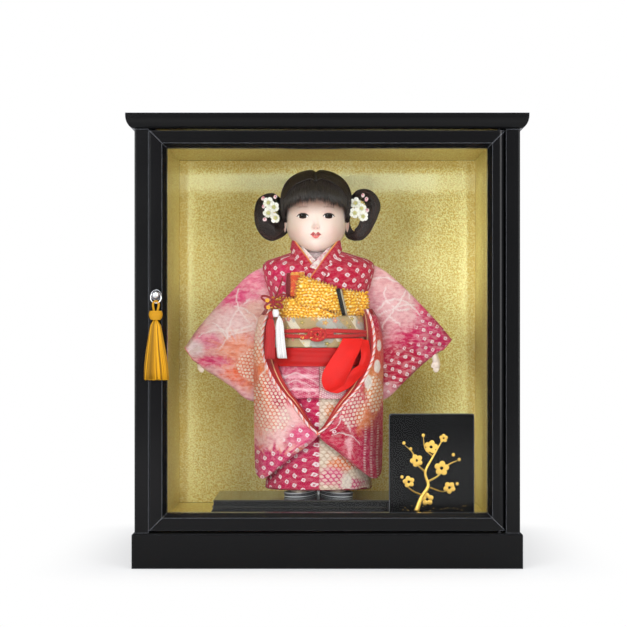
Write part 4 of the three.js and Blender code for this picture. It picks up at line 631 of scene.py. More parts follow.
def dyed(x, z, ground, spots, seed):
    """A colour for each place: the ground, then each spot laid over it with a ragged edge.
    A spot is its centre, its half sizes, its softness, its colour and how streaky it is."""
    colour = np.broadcast_to(ground, x.shape + (3,))
    ragged = cloud(x / 9, z / 9, seed) * 0.28
    for n, (cx, cz, rx, rz, soft, tint, streaks) in enumerate(spots):
        dx, dz = (x - cx) / rx, (z - cz) / rz
        far = np.hypot(dx, dz) + ragged
        if streaks:
            angle = np.arctan2(dz, dx)
            far = far + streaks * 0.55 * noise2(angle * 21, far * 2.2 + n * 7, seed + n)
        share = 1 - smooth(far, 1 - soft, 1 + soft)
        colour = tinted(colour, tint, share)
    return colour


def region(x, z, spots, seed, soft=0.12):
    """1 within any of these ellipses, each its centre and half sizes."""
    ragged = cloud(x / 6, z / 6, seed + 31) * 0.12
    share = np.zeros(x.shape)
    for cx, cz, rx, rz in spots:
        far = np.hypot((x - cx) / rx, (z - cz) / rz) + ragged
        share = np.maximum(share, 1 - smooth(far, 1 - soft, 1 + soft))
    return share


def arcs(x, z, circles, width=1.1):
    """Thin curved lines: each a circle's centre, radius, and the angles it runs between."""
    share = np.zeros(x.shape)
    for cx, cz, radius, start, end in circles:
        far = np.abs(np.hypot(x - cx, z - cz) - radius + cloud(x / 12, z / 12, 5) * 3.4)
        angle = (np.arctan2(z - cz, x - cx) - start) % TAU
        ends = smooth(angle, 0, 0.06) * (1 - smooth(angle, end - start - 0.06, end - start))
        share = np.maximum(share, (1 - smooth(far, width * 0.35, width)) * ends)
    return share


def cells_of(x, z, pitch, turn=0.0):
    """Places in units of the tie-dye's pitch."""
    c, s = math.cos(turn), math.sin(turn)
    return join((x * c - z * s) / pitch, (x * s + z * c) / pitch)


def wrap_columns(values):
    """The values of a closed row with its first column again at its end."""
    return np.concatenate([values, values[:, :1]], 1)


def wound(angle, z, girth, pitch, turn):
    """The tie-dye's places on a form, their last column one step on from the one before."""
    around = angle * girth
    step = girth * TAU / around.shape[1]
    uv = cells_of(wrap_columns(around), wrap_columns(z), pitch, turn)
    uv[:, -1] = cells_of(around[:, -1:] + step, z[:, -1:], pitch, turn)[:, 0]
    return uv


def pucker(x, z, seed, size, depth):
    return depth * cloud(x / size, z / size, seed, 2)


# Kimono


def dress_bodice():
    """The kimono above the waist, and its fold that hangs below the sash."""
    points, angle, _ = tower(bodice, 150, 260, 0.1)
    x, y, z = axes(points)
    front = smooth(-np.sin(angle), -0.2, 0.5)
    fold = 0.8 * np.sin(angle * 9 + z * 0.05) * bell(z - 205, 26)
    swell = pucker(angle * 50, z, 3, 5, 0.5) + fold * front
    swell = swell - 0.5 * bell(z - 162, 24)
    points = points + normals(points, True) * swell[..., None]
    dye = dyed(angle * GIRTH, z, CRIMSON, [(-120, 225, 40, 30, 0.3, MAGENTA, 0.2),
                                           (40, 190, 30, 20, 0.4, rgb(180, 20, 70), 0.1)], 1)
    throat = (y < 0) & (np.abs(x - NECK_X) < (z - 247) * 0.98) & (z > 247)
    pile = Pile().grid(points, True, wound(angle, z, GIRTH, 10.2, 0.62), dye, (0.95, 0, 0),
                       (z > 139) & ~throat)
    made = pile.object("kimono_bodice_cloth", CRIMSON_CLOTH, "case", "kimono_bodice",
                       slot="crimson_cloth")
    thick(made, 0.7)

    top = 0.235
    points, angle, t = tower(bodice, 0, 240, 0.25, np.linspace(0, top, 50))
    z = points[..., 2]
    flare = 0.9 * smooth(125 - z, 0, 18)
    points += normals(points, True) * (pucker(angle * 50, z, 9, 4, 0.55) + flare)[..., None]
    points[..., 2] += 0.6 * np.sin(angle * 7 + 1) * (1 - t / top)
    x = points[..., 0]
    right = smooth(x, 0.6, 1.6)
    left_dye = dyed(x, z, rgb(206, 40, 102), [
        (-22, 131, 22, 2.0, 0.4, rgb(242, 170, 190), 0.5),
        (-16, 117, 20, 1.7, 0.4, rgb(242, 166, 186), 0.5),
        (-34, 112, 8, 8, 0.4, MAGENTA, 0.3)], 4)
    right_dye = dyed(x, z, rgb(212, 104, 120), [
        (24, 126, 22, 5, 0.4, rgb(226, 168, 156), 0.3),
        (14, 112, 12, 5, 0.4, rgb(226, 150, 180), 0.3)], 5)
    lines = arcs(x, z, [(-24, 96, 30, 0.6, 2.4), (-24, 96, 37, 0.5, 2.4), (-24, 96, 23, 0.8, 2.2)],
                 1.0) * 0.7
    pile = Pile().grid(points, True, wound(angle, z, GIRTH, 4.6, 0.1),
                       tinted(left_dye, right_dye, right), join(0, 0.25 + 0.6 * right, lines))
    made = pile.object("waist_fold", PINK_CLOTH, "case", "kimono_bodice", slot="pink_cloth")
    thick(made, 1.1)
    lap = np.linspace(110, 141, 16)
    Pile().tube(join(1.0, -front_of(bodice, 1.0, lap) - 0.9, lap), 0.28, 5,
                dye=rgb(150, 60, 90)).object(
        "waist_fold_edge", THREAD, "case", "kimono_bodice", slot="crimson_cloth")


def thick(obj, millimetres):
    """Gives a cloth its thickness, inward from its outside."""
    made = obj.modifiers.new("cloth", "SOLIDIFY")
    made.thickness = millimetres * MM
    made.offset = -1.0


def dress_skirt():
    points, angle, t = tower(skirt, 130, 300, 0.1)
    x, y, z = axes(points)
    behind = np.maximum(0, np.sin(angle)) * (1 - 0.6 * t)
    points[..., :2] *= (1 + (1.5 / 38) * np.cos(9 * angle) * behind)[..., None]
    y -= np.where((x > 0) & (y < 0), 1.4 * smooth(x, 0, 1.6) * (1 - x / 58), 0)
    swell = pucker(angle * 50, z, 12, 5, 0.5) + 0.5 * np.sin(angle * 13) * (1 - t)
    points += normals(points, True) * swell[..., None]
    right = smooth(x, 1.2, 2.0) * (y < 6)
    left_dye = dyed(x, z, rgb(198, 26, 82), [(-30, 60, 22, 24, 0.4, rgb(212, 40, 100), 0.2)], 6)
    right_dye = dyed(x, z, rgb(214, 190, 166), [
        (20, 92, 12, 9, 0.5, ORANGE, 0.4), (26, 38, 14, 9, 0.4, rgb(232, 120, 60), 0.4),
        (14, 24, 16, 9, 0.4, rgb(222, 80, 130), 0.4), (44, 44, 8, 14, 0.3, rgb(190, 30, 50), 0.2),
        (34, 16, 16, 6, 0.3, rgb(214, 60, 120), 0.3), (30, 18, 6, 9, 0.3, rgb(240, 224, 214), 0.3),
        (48, 26, 10, 6, 0.3, rgb(236, 214, 196), 0.3)], 7)
    pile = Pile().grid(points, True, wound(angle, z, 50, 9.6, 0.5),
                       tinted(left_dye, right_dye, right), join(1 - right, 0.75 * right, 0))
    made = pile.object("kimono_skirt_cloth", CRIMSON_CLOTH, "case", "kimono_skirt",
                       slot="crimson_cloth")
    thick(made, 1.6)
    hem, _, _ = tower(skirt, 0, 300, -0.7, np.array([0.0]))
    Pile().tube(hem[0] + (0, 0, 0.2), 1.2, 8, True, dye=rgb(150, 20, 50)).object(
        "skirt_hem_roll", THREAD, "case", "kimono_skirt", slot="crimson_cloth")


SLEEVE_ROWS = {
    -1: [[0.33, 0.99, 0.41], [0.52, 0.942, 0.4], [0.66, 0.865, 0.455], [0.79, 0.785, 0.5],
         [0.9, 0.705, 0.535], [0.985, 0.628, 0.57]],
    1: [[0.33, 1, 0.41], [0.5, 0.955, 0.405], [0.65, 0.882, 0.475], [0.79, 0.796, 0.545],
        [0.9, 0.724, 0.59], [0.98, 0.662, 0.615]],
}


def dress_sleeve(side):
    steps, sides = 120, 200
    t = np.linspace(0, 1, steps + 1)[:, None]
    out, high, low = line_through(SLEEVE_ROWS[side], steps + 1).T[..., None]
    angle = (np.arange(sides) + 0.5) * TAU / sides
    c, d = np.cos(angle), np.sin(angle)
    down = (1 - c) / 2
    slant = 0.1 * np.maximum(0, t - 0.3)
    x = side * 144 * (out + slant * (0.5 - down))
    z = mix(high, low, down) * 258
    x, z = np.broadcast_arrays(x, z)
    fold = 1.6 * t * np.cos(5 * math.pi * down + 0.6)
    fold = fold + 1.1 * bell(t - 0.25, 0.3) * np.sin(down * 15 + t * 5)
    half = 6.5 * mix(1, 0.92, t) * np.sign(d) * np.abs(d) ** 0.7
    y = half + fold * np.abs(d) + 3.25
    points = join(x, y, z)
    swell = pucker(x, z + 40 * np.sign(d), 20 + side, 4, 0.4) * np.abs(d) ** 0.4
    points = points + normals(points, True) * swell[..., None]
    if side < 0:
        dye = dyed(x, z, rgb(238, 176, 184), [
            (-94, 218, 24, 11, 0.45, rgb(232, 86, 138), 0.6),
            (-70, 238, 18, 12, 0.4, rgb(240, 130, 160), 0.5),
            (-68, 196, 20, 16, 0.4, rgb(240, 190, 178), 0.2),
            (-98, 186, 26, 16, 0.4, rgb(242, 204, 206), 0.3),
            (-124, 168, 18, 8, 0.5, rgb(240, 140, 172), 0.6),
            (-136, 160, 10, 9, 0.4, rgb(246, 222, 230), 0.3),
            (-84, 156, 30, 18, 0.5, rgb(242, 150, 120), 0.7),
            (-66, 134, 24, 20, 0.4, rgb(238, 132, 96), 0.3),
            (-90, 132, 16, 6, 0.5, CORAL, 0.4),
            (-116, 147, 17, 5, 0.6, rgb(228, 66, 124), 0.8)], 8)
        knots = region(x, z, [(-66, 142, 24, 19), (-58, 120, 14, 12)], 8)
        rings = 0
        lines = arcs(x, z, [(-64, 214, 26, 2.6, 5.0), (-96, 178, 30, -0.4, 1.5),
                            (-92, 214, 34, 3.9, 5.6), (-60, 176, 40, 1.9, 3.3),
                            (-116, 158, 22, 0.6, 2.4), (-78, 152, 30, 1.2, 2.9)])
    else:
        dye = dyed(x, z, rgb(230, 156, 168), [
            (70, 236, 20, 16, 0.4, rgb(236, 178, 182), 0.2),
            (92, 206, 26, 20, 0.4, rgb(238, 182, 188), 0.3),
            (118, 204, 12, 14, 0.4, rgb(238, 84, 130), 0.6),
            (130, 178, 22, 26, 0.35, rgb(208, 34, 100), 0.5),
            (104, 162, 26, 22, 0.4, rgb(208, 36, 98), 0.5),
            (84, 142, 30, 24, 0.35, rgb(190, 24, 66), 0.3),
            (62, 178, 12, 18, 0.4, rgb(196, 110, 120), 0.3),
            (58, 128, 14, 26, 0.3, rgb(176, 18, 44), 0.2)], 9)
        knots = 0
        rings = region(x, z, [(128, 182, 22, 30), (106, 148, 30, 18), (78, 128, 22, 16)], 9)
        lines = arcs(x, z, [(72, 208, 30, 0.2, 2.2), (86, 188, 26, 0.3, 2.6),
                            (104, 176, 34, 1.5, 3.0), (62, 232, 34, 4.6, 6.1),
                            (96, 226, 24, 3.0, 4.9), (70, 176, 22, 0.4, 2.2)], 1.2)
    uv = cells_of(wrap_columns(x), wrap_columns(z), 8.6, 0.35 * side)
    name = SIDES[side]
    made = Pile().grid(points, True, uv, dye, join(rings, knots, lines)).object(
        f"sleeve_{name}_cloth", PINK_CLOTH, "case", f"sleeve_{name}", slot="pink_cloth")
    thick(made, 0.8)
    trim = rgb(240, 150, 150) if side < 0 else MAGENTA
    Pile().tube(points[-1], 0.55, 6, True, dye=trim).object(
        f"cuff_{name}", THREAD, "case", f"sleeve_{name}", slot="pink_cloth")


# A sleeve drop's foot, height and reach, and rows of the shares of its height, outer and
# inner edge.
DROP_FOOT, DROP_HEIGHT, DROP_REACH = 21, 183, 70
DROP_ROWS = [
    [0, 0.93, 0.829], [0.03, 0.985, 0.713], [0.152, 1, 0.331], [0.254, 1.005, 0.0143],
    [0.3176, 1.005, 0.15], [0.448, 1.01, 0.41], [0.497, 1.012, 0.53], [0.568, 1.015, 0.67],
    [0.656, 1.015, 0.79], [0.73, 1.015, 0.85], [0.825, 1.0, 0.865], [0.93, 0.95, 0.82],
    [1, 0.84, 0.74]]


def drop_depth(x):
    """How far in front of the doll's axis a sleeve drop hangs."""
    across = np.minimum(1, np.abs(x) / 70.7)
    return 2.6 + 44.4 * np.sqrt(1 - across**2)


def drop_edge(side, z, inward):
    """Points down a drop's inner edge, on its front."""
    up, _, near = line_through(DROP_ROWS, 500).T
    x = side * (np.interp((z - DROP_FOOT) / DROP_HEIGHT, up, near) * DROP_REACH - inward)
    return join(x, -drop_depth(x) - 3.4, z)


def dress_drop(side):
    t = np.linspace(0, 1, 230)[:, None]
    up, far, near = line_through(DROP_ROWS, 230).T[..., None]
    u = np.linspace(0, 1, 90)
    u = u + 0.06 * np.sin(TAU * u) / TAU
    x, z = np.broadcast_arrays(side * mix(near * DROP_REACH, far * DROP_REACH, u),
                               DROP_FOOT + up * DROP_HEIGHT)
    base = mix(drop_depth(x), 2.6, u**8)
    edge = np.minimum(1, np.sin(math.pi * mix(0.05, 0.95, u)) * 2.2)
    wave = 1.2 * np.sin(2.5 * math.pi * u + 1) * np.sin(math.pi * u) * (1 - 0.5 * t)
    wave = wave + 0.7 * np.sin(u * 9 + t * 4) * bell(t - 0.6, 0.25)
    face = base + 6 * edge + wave + pucker(x, z, 40 + side, 4, 0.5)
    face = face - 11 * smooth(t, 0.9, 1.0)
    points = np.concatenate([join(x, -face, z), join(x, -base, z)[:, ::-1]], 1)
    if side < 0:
        dye = dyed(x, z, rgb(236, 130, 100), [
            (-60, 182, 12, 26, 0.4, rgb(240, 190, 176), 0.3),
            (-62, 150, 14, 16, 0.4, rgb(240, 140, 90), 0.4),
            (-48, 120, 14, 14, 0.4, rgb(226, 96, 110), 0.4),
            (-34, 104, 14, 14, 0.4, rgb(206, 40, 80), 0.4),
            (-66, 108, 12, 30, 0.4, rgb(238, 120, 70), 0.3),
            (-26, 88, 20, 12, 0.4, rgb(242, 184, 184), 0.4),
            (-46, 66, 44, 17, 0.5, rgb(246, 196, 198), 1.0),
            (-60, 84, 14, 14, 0.5, rgb(238, 140, 120), 0.6),
            (-14, 68, 16, 12, 0.5, rgb(226, 80, 130), 0.3),
            (-50, 36, 60, 20, 0.35, rgb(208, 36, 104), 0.9)], 10)
        knots = region(x, z, [(-54, 102, 20, 32), (-64, 166, 12, 22), (-44, 88, 14, 14)], 10)
        rings = region(x, z, [(-52, 34, 40, 18), (-22, 60, 16, 20)], 10)
        lines = arcs(x, z, [(-66, 190, 20, 4.8, 6.0), (-80, 150, 26, -0.9, 0.9)])
    else:
        dye = dyed(x, z, rgb(200, 28, 72), [
            (58, 150, 16, 26, 0.4, rgb(226, 70, 50), 0.3),
            (60, 118, 14, 22, 0.4, rgb(236, 150, 90), 0.4),
            (40, 126, 10, 10, 0.4, rgb(210, 30, 60), 0.2),
            (36, 104, 16, 24, 0.4, rgb(214, 70, 90), 0.4),
            (50, 84, 10, 16, 0.5, rgb(232, 130, 80), 0.5),
            (33, 62, 3.4, 16, 0.5, rgb(240, 170, 180), 0.9),
            (24, 70, 12, 5, 0.5, rgb(186, 16, 56), 0.4),
            (58, 52, 14, 24, 0.4, rgb(210, 40, 92), 0.4)], 11)
        knots = region(x, z, [(36, 98, 14, 22), (60, 112, 10, 20)], 11)
        rings = region(x, z, [(14, 76, 7, 6)], 11) * 0.9
        ovals = region(x, z, [(53.5, 125, 4.2, 7.5), (63.5, 142, 3.6, 7), (65.5, 164, 2.6, 6)],
                       12, 0.2)
        dye = tinted(dye, rgb(250, 238, 232), ovals)
        beads = sum(1 - smooth(np.abs(x - at - 0.6 * np.sin(z / 9)), 0.7, 1.5)
                    for at in (50, 57, 64))
        beads = beads * smooth(np.sin(z * 2.3), -0.3, 0.5) * region(x, z, [(58, 52, 12, 34)], 3)
        lines = np.maximum(beads, arcs(x, z, [(8, 66, 26, 0.2, 1.3), (20, 40, 30, 0.6, 1.8),
                                              (2, 92, 22, 5.2, 6.2)], 0.8))
    dye = np.concatenate([dye, np.broadcast_to(DARK_RED, dye.shape)], 1)
    marks = join(rings, knots, lines)
    marks = np.concatenate([marks, 0 * marks], 1)
    uv = cells_of(wrap_columns(points[..., 0]), wrap_columns(points[..., 2]), 9.4, -0.6 * side)
    name = SIDES[side]
    pile = Pile().grid(points, True, uv, dye, marks)
    for row in (0, -1):
        ends = np.stack([points[row], points[row].mean(0) + 0 * points[row]])
        pile.grid(ends if row else ends[::-1], True, dye=DARK_RED)
    pile.object(f"sleeve_drop_{name}_cloth", CORAL_CLOTH, "case", f"sleeve_drop_{name}",
                slot="coral_cloth")

    z = np.linspace(69, 203, 240)
    path = drop_edge(side, z, 0.2)
    path[:, 1] -= 1.2
    strands = Pile()
    for start, tint in ((0, rgb(252, 236, 232)), (1 / 3, rgb(240, 130, 110)), (2 / 3, PALE)):
        turn = TAU * (z / 7.5 + start)
        strands.tube(path + join(np.cos(turn), np.sin(turn), 0) * 0.72, 0.78, 7, dye=tint)
    strands.object(f"piping_{name}", THREAD, "case", f"sleeve_drop_{name}", slot="coral_cloth")

    width = np.interp(z, [66, 100, 125, 150, 172, 190, 204], [2.2, 7, 10, 12, 12.5, 9.5, 5])
    v = np.linspace(0, 1, 25)
    x = drop_edge(side, z, 0.6)[:, :1] - side * width[:, None] * v
    z = z[:, None]
    inner = np.maximum(front_of(bodice, x, np.maximum(z, 108)),
                       front_of(skirt, x, np.minimum(z, 140)))
    ahead = np.maximum(mix(drop_depth(x) + 2.6, inner + 1.6, smooth(v, 0, 1) * 0.7), inner + 1.2)
    ahead = ahead + 0.7 * np.abs(np.sin(math.pi * v * 2))
    tint = tinted(rgb(176, 22, 26), CREAM, bell(v - 0.56, 0.045) * smooth(z, 84, 110))
    made = Pile().grid(join(x, -ahead, z), dye=tint).object(
        f"lining_{name}", RED_CLOTH, "case", f"sleeve_drop_{name}", slot="red_cloth")
    thick(made, 0.6)


# Collars and belts


def flat_band(path, out, width, thickness, columns, steps):
    """Points round a flat band that follows a path and lies against outward directions."""
    path, out = line_through(path, steps), line_through(out, steps)
    along = unit(np.gradient(path, axis=0))
    across = unit(np.cross(along, out))
    up = np.cross(across, along)
    u = np.linspace(-1, 1, columns)
    lens = np.sqrt(np.clip(1 - np.abs(u) ** 6, 0, 1))
    top = path[:, None] + across[:, None] * u[:, None] * width / 2
    lift = up[:, None] * lens[:, None] * thickness / 2
    return np.concatenate([top + lift, (top - lift)[:, ::-1]], 1)


def collar_line(inset, lift, start, end):
    """Once round the neck, from the left end at the sash up and over to the right end."""
    half, cross, top = 25.6 - inset, 233 + inset * 2.5, 273 - inset * 0.3
    deep = 10.5

    def on(x, z, layer):
        return [x + NECK_X, -float(front_of(bodice, x, z)) - lift - layer, z]

    return [
        on(start, cross - start * 0.9, 0), on(half * 0.04, cross, 0),
        [NECK_X - half * 0.5, -deep * 2.35 - lift, mix(cross, top, 0.5)],
        [NECK_X - half, -deep * 0.9, top],
        [NECK_X - half * 0.86, deep * 0.9, top + inset * 0.2],
        [NECK_X, deep * 1.9 - inset * 0.4, top + inset * 0.2],
        [NECK_X + half * 0.86, deep * 0.9, top + inset * 0.2],
        [NECK_X + half, -deep * 0.9, top],
        [NECK_X + half * 0.5, -deep * 2.35 - lift, mix(cross, top, 0.5)],
        on(-half * 0.04, cross, 2.9), on(-end, cross - end * 0.9, 2.9)]


def dress_collars():
    def outward(path):
        return join(path[:, 0] - NECK_X, np.minimum(path[:, 1], path[:, 1] * 0.6), 6)

    outer = (0, 2.9, 14.3, 18.2)
    for name, ends, width, thickness, material, cad in (
            ("kimono_collar_cloth", outer, 13, 2.4, CRIMSON_CLOTH, "kimono_collar"),
            ("inner_collar_cloth", (6.3, 1.0, 0.3, 2.4), 9.4, 1.8, PINK_CLOTH, "inner_collar")):
        path = np.array(collar_line(*ends))
        points = flat_band(path, outward(path), width, thickness, 13, 160)
        far = np.cumsum(np.linalg.norm(np.gradient(points[:, 0], axis=0), axis=1))[:, None]
        u = np.linspace(0, points.shape[1] / 6, points.shape[1] + 1)[None]
        if cad == "inner_collar":
            x, y, z = axes(points)
            patches = smooth(cloud(x / 1.7, z / 1.7, 4), 0.0, 0.3) * 0.85
            dye = tinted(dyed(far + 0 * x, 30 * y, rgb(252, 240, 238), [], 3),
                         rgb(226, 112, 146), patches)
            pile = Pile().grid(points, True, join(far / 3, u * 1.2), dye, (0, 0.4, 0))
            up, over = np.linspace(0, 1, 16)[:, None], np.linspace(-1, 1, 21)[None]
            bib = join(NECK_X + over * mix(3, 12.5, up), -mix(31, 14.5, up) + 3 * over**2,
                       mix(244, 270, up))
            pile.grid(bib, uv=bib[..., ::2] / 3, dye=rgb(246, 214, 222), marks=(0, 0.8, 0))
            slot = "cream_cloth"
        else:
            pile = Pile().grid(points, True, join(far / 9.6, u * 0.55), CRIMSON, (0.95, 0, 0))
            slot = "crimson_cloth"
        pile.object(name, material, "case", cad, slot=slot)
    path = through(collar_line(*outer))(np.linspace(0.12, 1, 160))
    out = outward(path)
    across = unit(np.cross(unit(np.gradient(path, axis=0)), out))
    for shift, tint in ((0.5, rgb(244, 200, 120)), (1.3, rgb(232, 130, 70))):
        edge = path + across * (6.6 - shift * 0.2) + unit(out) * (shift - 0.6)
        Pile().tube(edge, 0.62, 7, dye=tint).object(
            f"collar_piping_{shift:.0f}", THREAD, "case", "kimono_collar", slot="cream_cloth")


def brocade():
    """Woven silk: slanting cream bands, blue-grey patches, small plum flowers, gold thread."""
    s = Shader("obi_brocade")
    uv = s.uv()
    x, y, _ = s.parts(uv)
    slant = s.math("FRACT", (x + y * 0.75) * (1 / 33))
    band = s.step(slant, 0.1, 0.13) * s.fall(slant, 0.42, 0.45)
    patch = s.step(s.noise(s.moved(uv, turn=(0, 0, 0.6)), 0.055, 1), 0.54, 0.57)
    ground = s.blend(band, rgb(190, 166, 122), rgb(240, 232, 208))
    ground = s.blend(patch * 0.75, ground, rgb(170, 176, 176))
    spot = s.cells(uv, 0.085, output=2, spread=0.75)
    ax, ay, _ = s.parts(s.vectors("SUBTRACT", uv, spot))
    far = s.math("SQRT", ax * ax + ay * ay)
    petals = s.math("COSINE", s.math("ARCTAN2", ay, ax) * 5.0)
    flower = s.fall(far - petals * 0.7, 2.1, 2.5)
    heart = s.fall(far, 0.6, 0.9)
    luck = s.node("ShaderNodeTexWhiteNoise", {0: spot}, noise_dimensions="3D")
    tint = s.ramp(luck, (0.0, rgb(198, 60, 70)), (0.4, rgb(226, 130, 140)),
                  (0.7, rgb(216, 180, 90)), (1.0, rgb(110, 120, 80)))
    ground = s.blend(flower * s.step(luck, 0.15, 0.2), ground, tint)
    ground = s.blend(heart, ground, rgb(244, 214, 120))
    leaf = s.step(s.noise(s.moved(uv, (1, 1.8, 1), (0, 0, 1.1)), 0.2, 2, twist=1.5), 0.64, 0.67)
    ground = s.blend(leaf * 0.6, ground, rgb(150, 128, 80))
    weave = s.wave(uv, 1.1, "X") * 0.5 + s.wave(uv, 1.4, "Y")
    raised = (flower + band) * 0.8 + weave * 0.4
    return s.surface(s.blend(weave * 0.16, ground, rgb(150, 120, 80)),
                     0.62 - (band + flower) * 0.16, s.bump(raised, 0.0004, 0.6),
                     Sheen_Weight=0.2, Specular_Ior_Level=0.4)


def silk(name, colour, deep):
    """Ribbed satin with a cloudy, deeper shade in it."""
    s = Shader(name)
    place = s.place()
    ribs = s.wave(s.moved(s.uv(), (1, 60, 1)), 1.0, "Y", 0.3)
    tone = s.blend(s.step(s.noise(place, 60, 3), 0.3, 0.8) * 0.5, colour, deep)
    thread = s.noise(s.moved(place, (1, 1, 0.3)), 2400, 2)
    return s.surface(tone, thread * 0.15 + 0.42, s.bump(ribs * 0.2 + thread, 0.00012, 0.5),
                     Sheen_Weight=0.1, Specular_Ior_Level=0.25)


def dress_obi():
    points, angle, t = tower(belt, 60, 300, 0.0)
    z = points[..., 2]
    edge = np.clip(np.minimum(t, 1 - t) * 14, 0, 1)
    points -= normals(points, True) * (1 - np.sqrt(1 - (1 - edge) ** 2))[..., None] * 1.2
    points += normals(points, True) * (0.25 * cloud(angle * 9, z / 9, 3))[..., None]
    lower = points[0] * (0.95, 0.95, 1)
    upper = points[-1] * (0.9, 0.9, 1)
    points = np.concatenate([lower[None], points, upper[None]])
    around = angle[0] * GIRTH
    u = np.append(around, around[-1] + GIRTH * TAU / 300)
    Pile().grid(points, True, join(u[None], points[:, :1, 2])).object(
        "obi_brocade", OBI_SILK, "case", "obi", slot="beige_brocade")


def ring_points(z, grow, count, lift):
    """Once round the obi, from behind."""
    a = np.arange(count) * TAU / count + math.pi / 2
    c, d = np.cos(a), np.sin(a)
    p = 2 / belt["square"]
    y = np.sign(d) * np.abs(d) ** p * np.where(d < 0, belt["fore"] + grow, belt["aft"] + grow)
    x = np.sign(c) * np.abs(c) ** p * (belt["half"] + grow)
    return join(x, y, z + lift * np.cos(a * 2))


def dress_obijime():
    """The round cord on the obi: two turns, a knot, and two tails."""
    red, gold = rgb(196, 26, 26), rgb(244, 196, 90)
    pile = Pile()

    def braid(path, radius, loop=False):
        far = np.concatenate([[0], np.cumsum(np.linalg.norm(np.diff(path, axis=0), axis=1))])
        along = np.gradient(path, axis=0)
        side = unit(np.cross(along, (0.0, 0.4, 1.0)))
        up = unit(np.cross(side, along))
        turns = max(2, round(far[-1] / 7.0))
        for k in range(4):
            a = ((far / far[-1] * turns + k / 4) * TAU)[:, None]
            place = path + (side * np.cos(a) + up * np.sin(a)) * radius * 0.42
            fleck = (np.sin(far * 0.9 + k * 2.1) > 0.8)[:, None] & (k % 2 == 0)
            pile.tube(place, radius * 0.6, 7, loop, dye=np.where(fleck, gold, red))

    for shift, lift in ((-2.3, 0.8), (2.3, -0.8)):
        braid(ring_points(177 + shift, 2.3, 500, lift), 2.35, True)
    t = np.linspace(0, 1, 160)
    a = t * TAU
    centre = np.array([-1.4, -46.0, 176.0])
    braid(join(8.4 * np.sin(a), -1.4 * np.cos(2 * a) - 2.4, 5.8 * np.cos(a)) + centre, 2.1, True)
    cross = centre + join(6.4 * np.cos(a * 0.5), -2.2 + 1.6 * np.cos(a * 1.5),
                          3.2 * np.sin(a * 1.5 + 0.4))
    for strand in (cross, cross * (1, 1, -1) + (0, 0.4, 2 * centre[2])):
        braid(strand, 2.0)
    for side in (-1, 1):
        braid(join(mix(6, 17, t) * side - 1.4, -46.6 + 1.6 * t, 176 + side * 2.4 - 1.5 * t), 2.0)
    pile.object("obijime_braid", THREAD, "case", "obijime", slot="red_cloth")


def dress_sash():
    points, angle, t = tower(sash_form, 40, 260, 0.0)
    points += normals(points, True) * (0.35 * np.sin(t * 15 + angle * 1.5))[..., None]
    lower = points[0] * (0.94, 0.94, 1)
    Pile().grid(np.concatenate([lower[None], points]), True).object(
        "sash_silk", SCARLET_SILK, "case", "sash", slot="scarlet_silk")
    # Each row of a ribbon: its one edge, its other edge, and how far they stand out.
    front = [[26, 172, 48, 172, 1.5, 1.5], [21, 162, 46, 162, 4.0, 3.5],
             [12, 148, 40, 150, 6.0, 5.5], [5, 136, 35, 138, 7.2, 6.8],
             [3.6, 126, 31, 130, 7.4, 7.0], [7, 118, 28, 124, 6.0, 6.4],
             [13, 114.5, 27, 120, 3.6, 4.6]]
    end = [[13, 114.5, 24, 127, 3.4, 4.2], [21, 113.6, 31, 133, 3.6, 4.4],
           [32, 118.5, 38, 140, 3.4, 4.0], [43, 128, 46, 144, 2.6, 3.0],
           [53.5, 140.5, 54, 143.5, 1.4, 1.6]]
    loop = [[42, 171.5, 54, 170, 1.2, 1.0], [45, 162, 56, 160, 3.0, 2.2],
            [46, 152, 56, 150, 3.2, 2.4], [43, 142, 53.5, 141, 2.4, 1.6]]
    v, u = np.linspace(0, 1, 90)[:, None], np.linspace(0, 1, 40)
    for name, rows, cut, area in (
            ("front", front, (0.026, 0.06), 0.00154), ("end", end, (0.022, 0.042), 0.00072),
            ("loop", loop, (0.012, 0.03), 0.00034)):
        rows = line_through(rows, 90)
        x = mix(rows[:, 0, None], rows[:, 2, None], u)
        z = mix(rows[:, 1, None], rows[:, 3, None], u)
        lift = mix(rows[:, 4, None], rows[:, 5, None], u)
        lift = lift + 1.6 * np.sin(math.pi * u) * np.sin(math.pi * v)
        lift = lift + 0.5 * np.sin(u * 7 + v * 5)
        under = np.maximum(front_of(sash_form, np.clip(x, -50, 50), 150), drop_depth(x) - 1)
        made = Pile().grid(join(x, -under - lift, z)).object(
            f"ribbon_{name}", RIBBON_SILK, "case", "sash", slot="scarlet_silk")
        thick(made, 0.7)


def shibori():
    """Yellow scarf silk drawn up into small points: bright tops, orange hollows."""
    s = Shader("shibori")
    height, *_ = s.marks()
    fine = s.noise(s.place(), 1600, 3, 0.6)
    # The colour follows each point's height, lowered towards the strips' sides as painted shade;
    # the pale tops and deep orange between points are partly the tie-dye's own colours, partly
    # painted light and shade.
    colour = s.ramp(height + (fine - 0.5) * 0.3, (0.0, rgb(158, 88, 14)),
                    (0.18, rgb(228, 158, 30)), (0.4, rgb(250, 206, 66)),
                    (0.72, rgb(255, 246, 190)))
    return s.surface(colour, fine * 0.2 + 0.5, s.bump(fine, 0.0004, 0.5),
                     Sheen_Weight=0.3, Specular_Ior_Level=0.35)


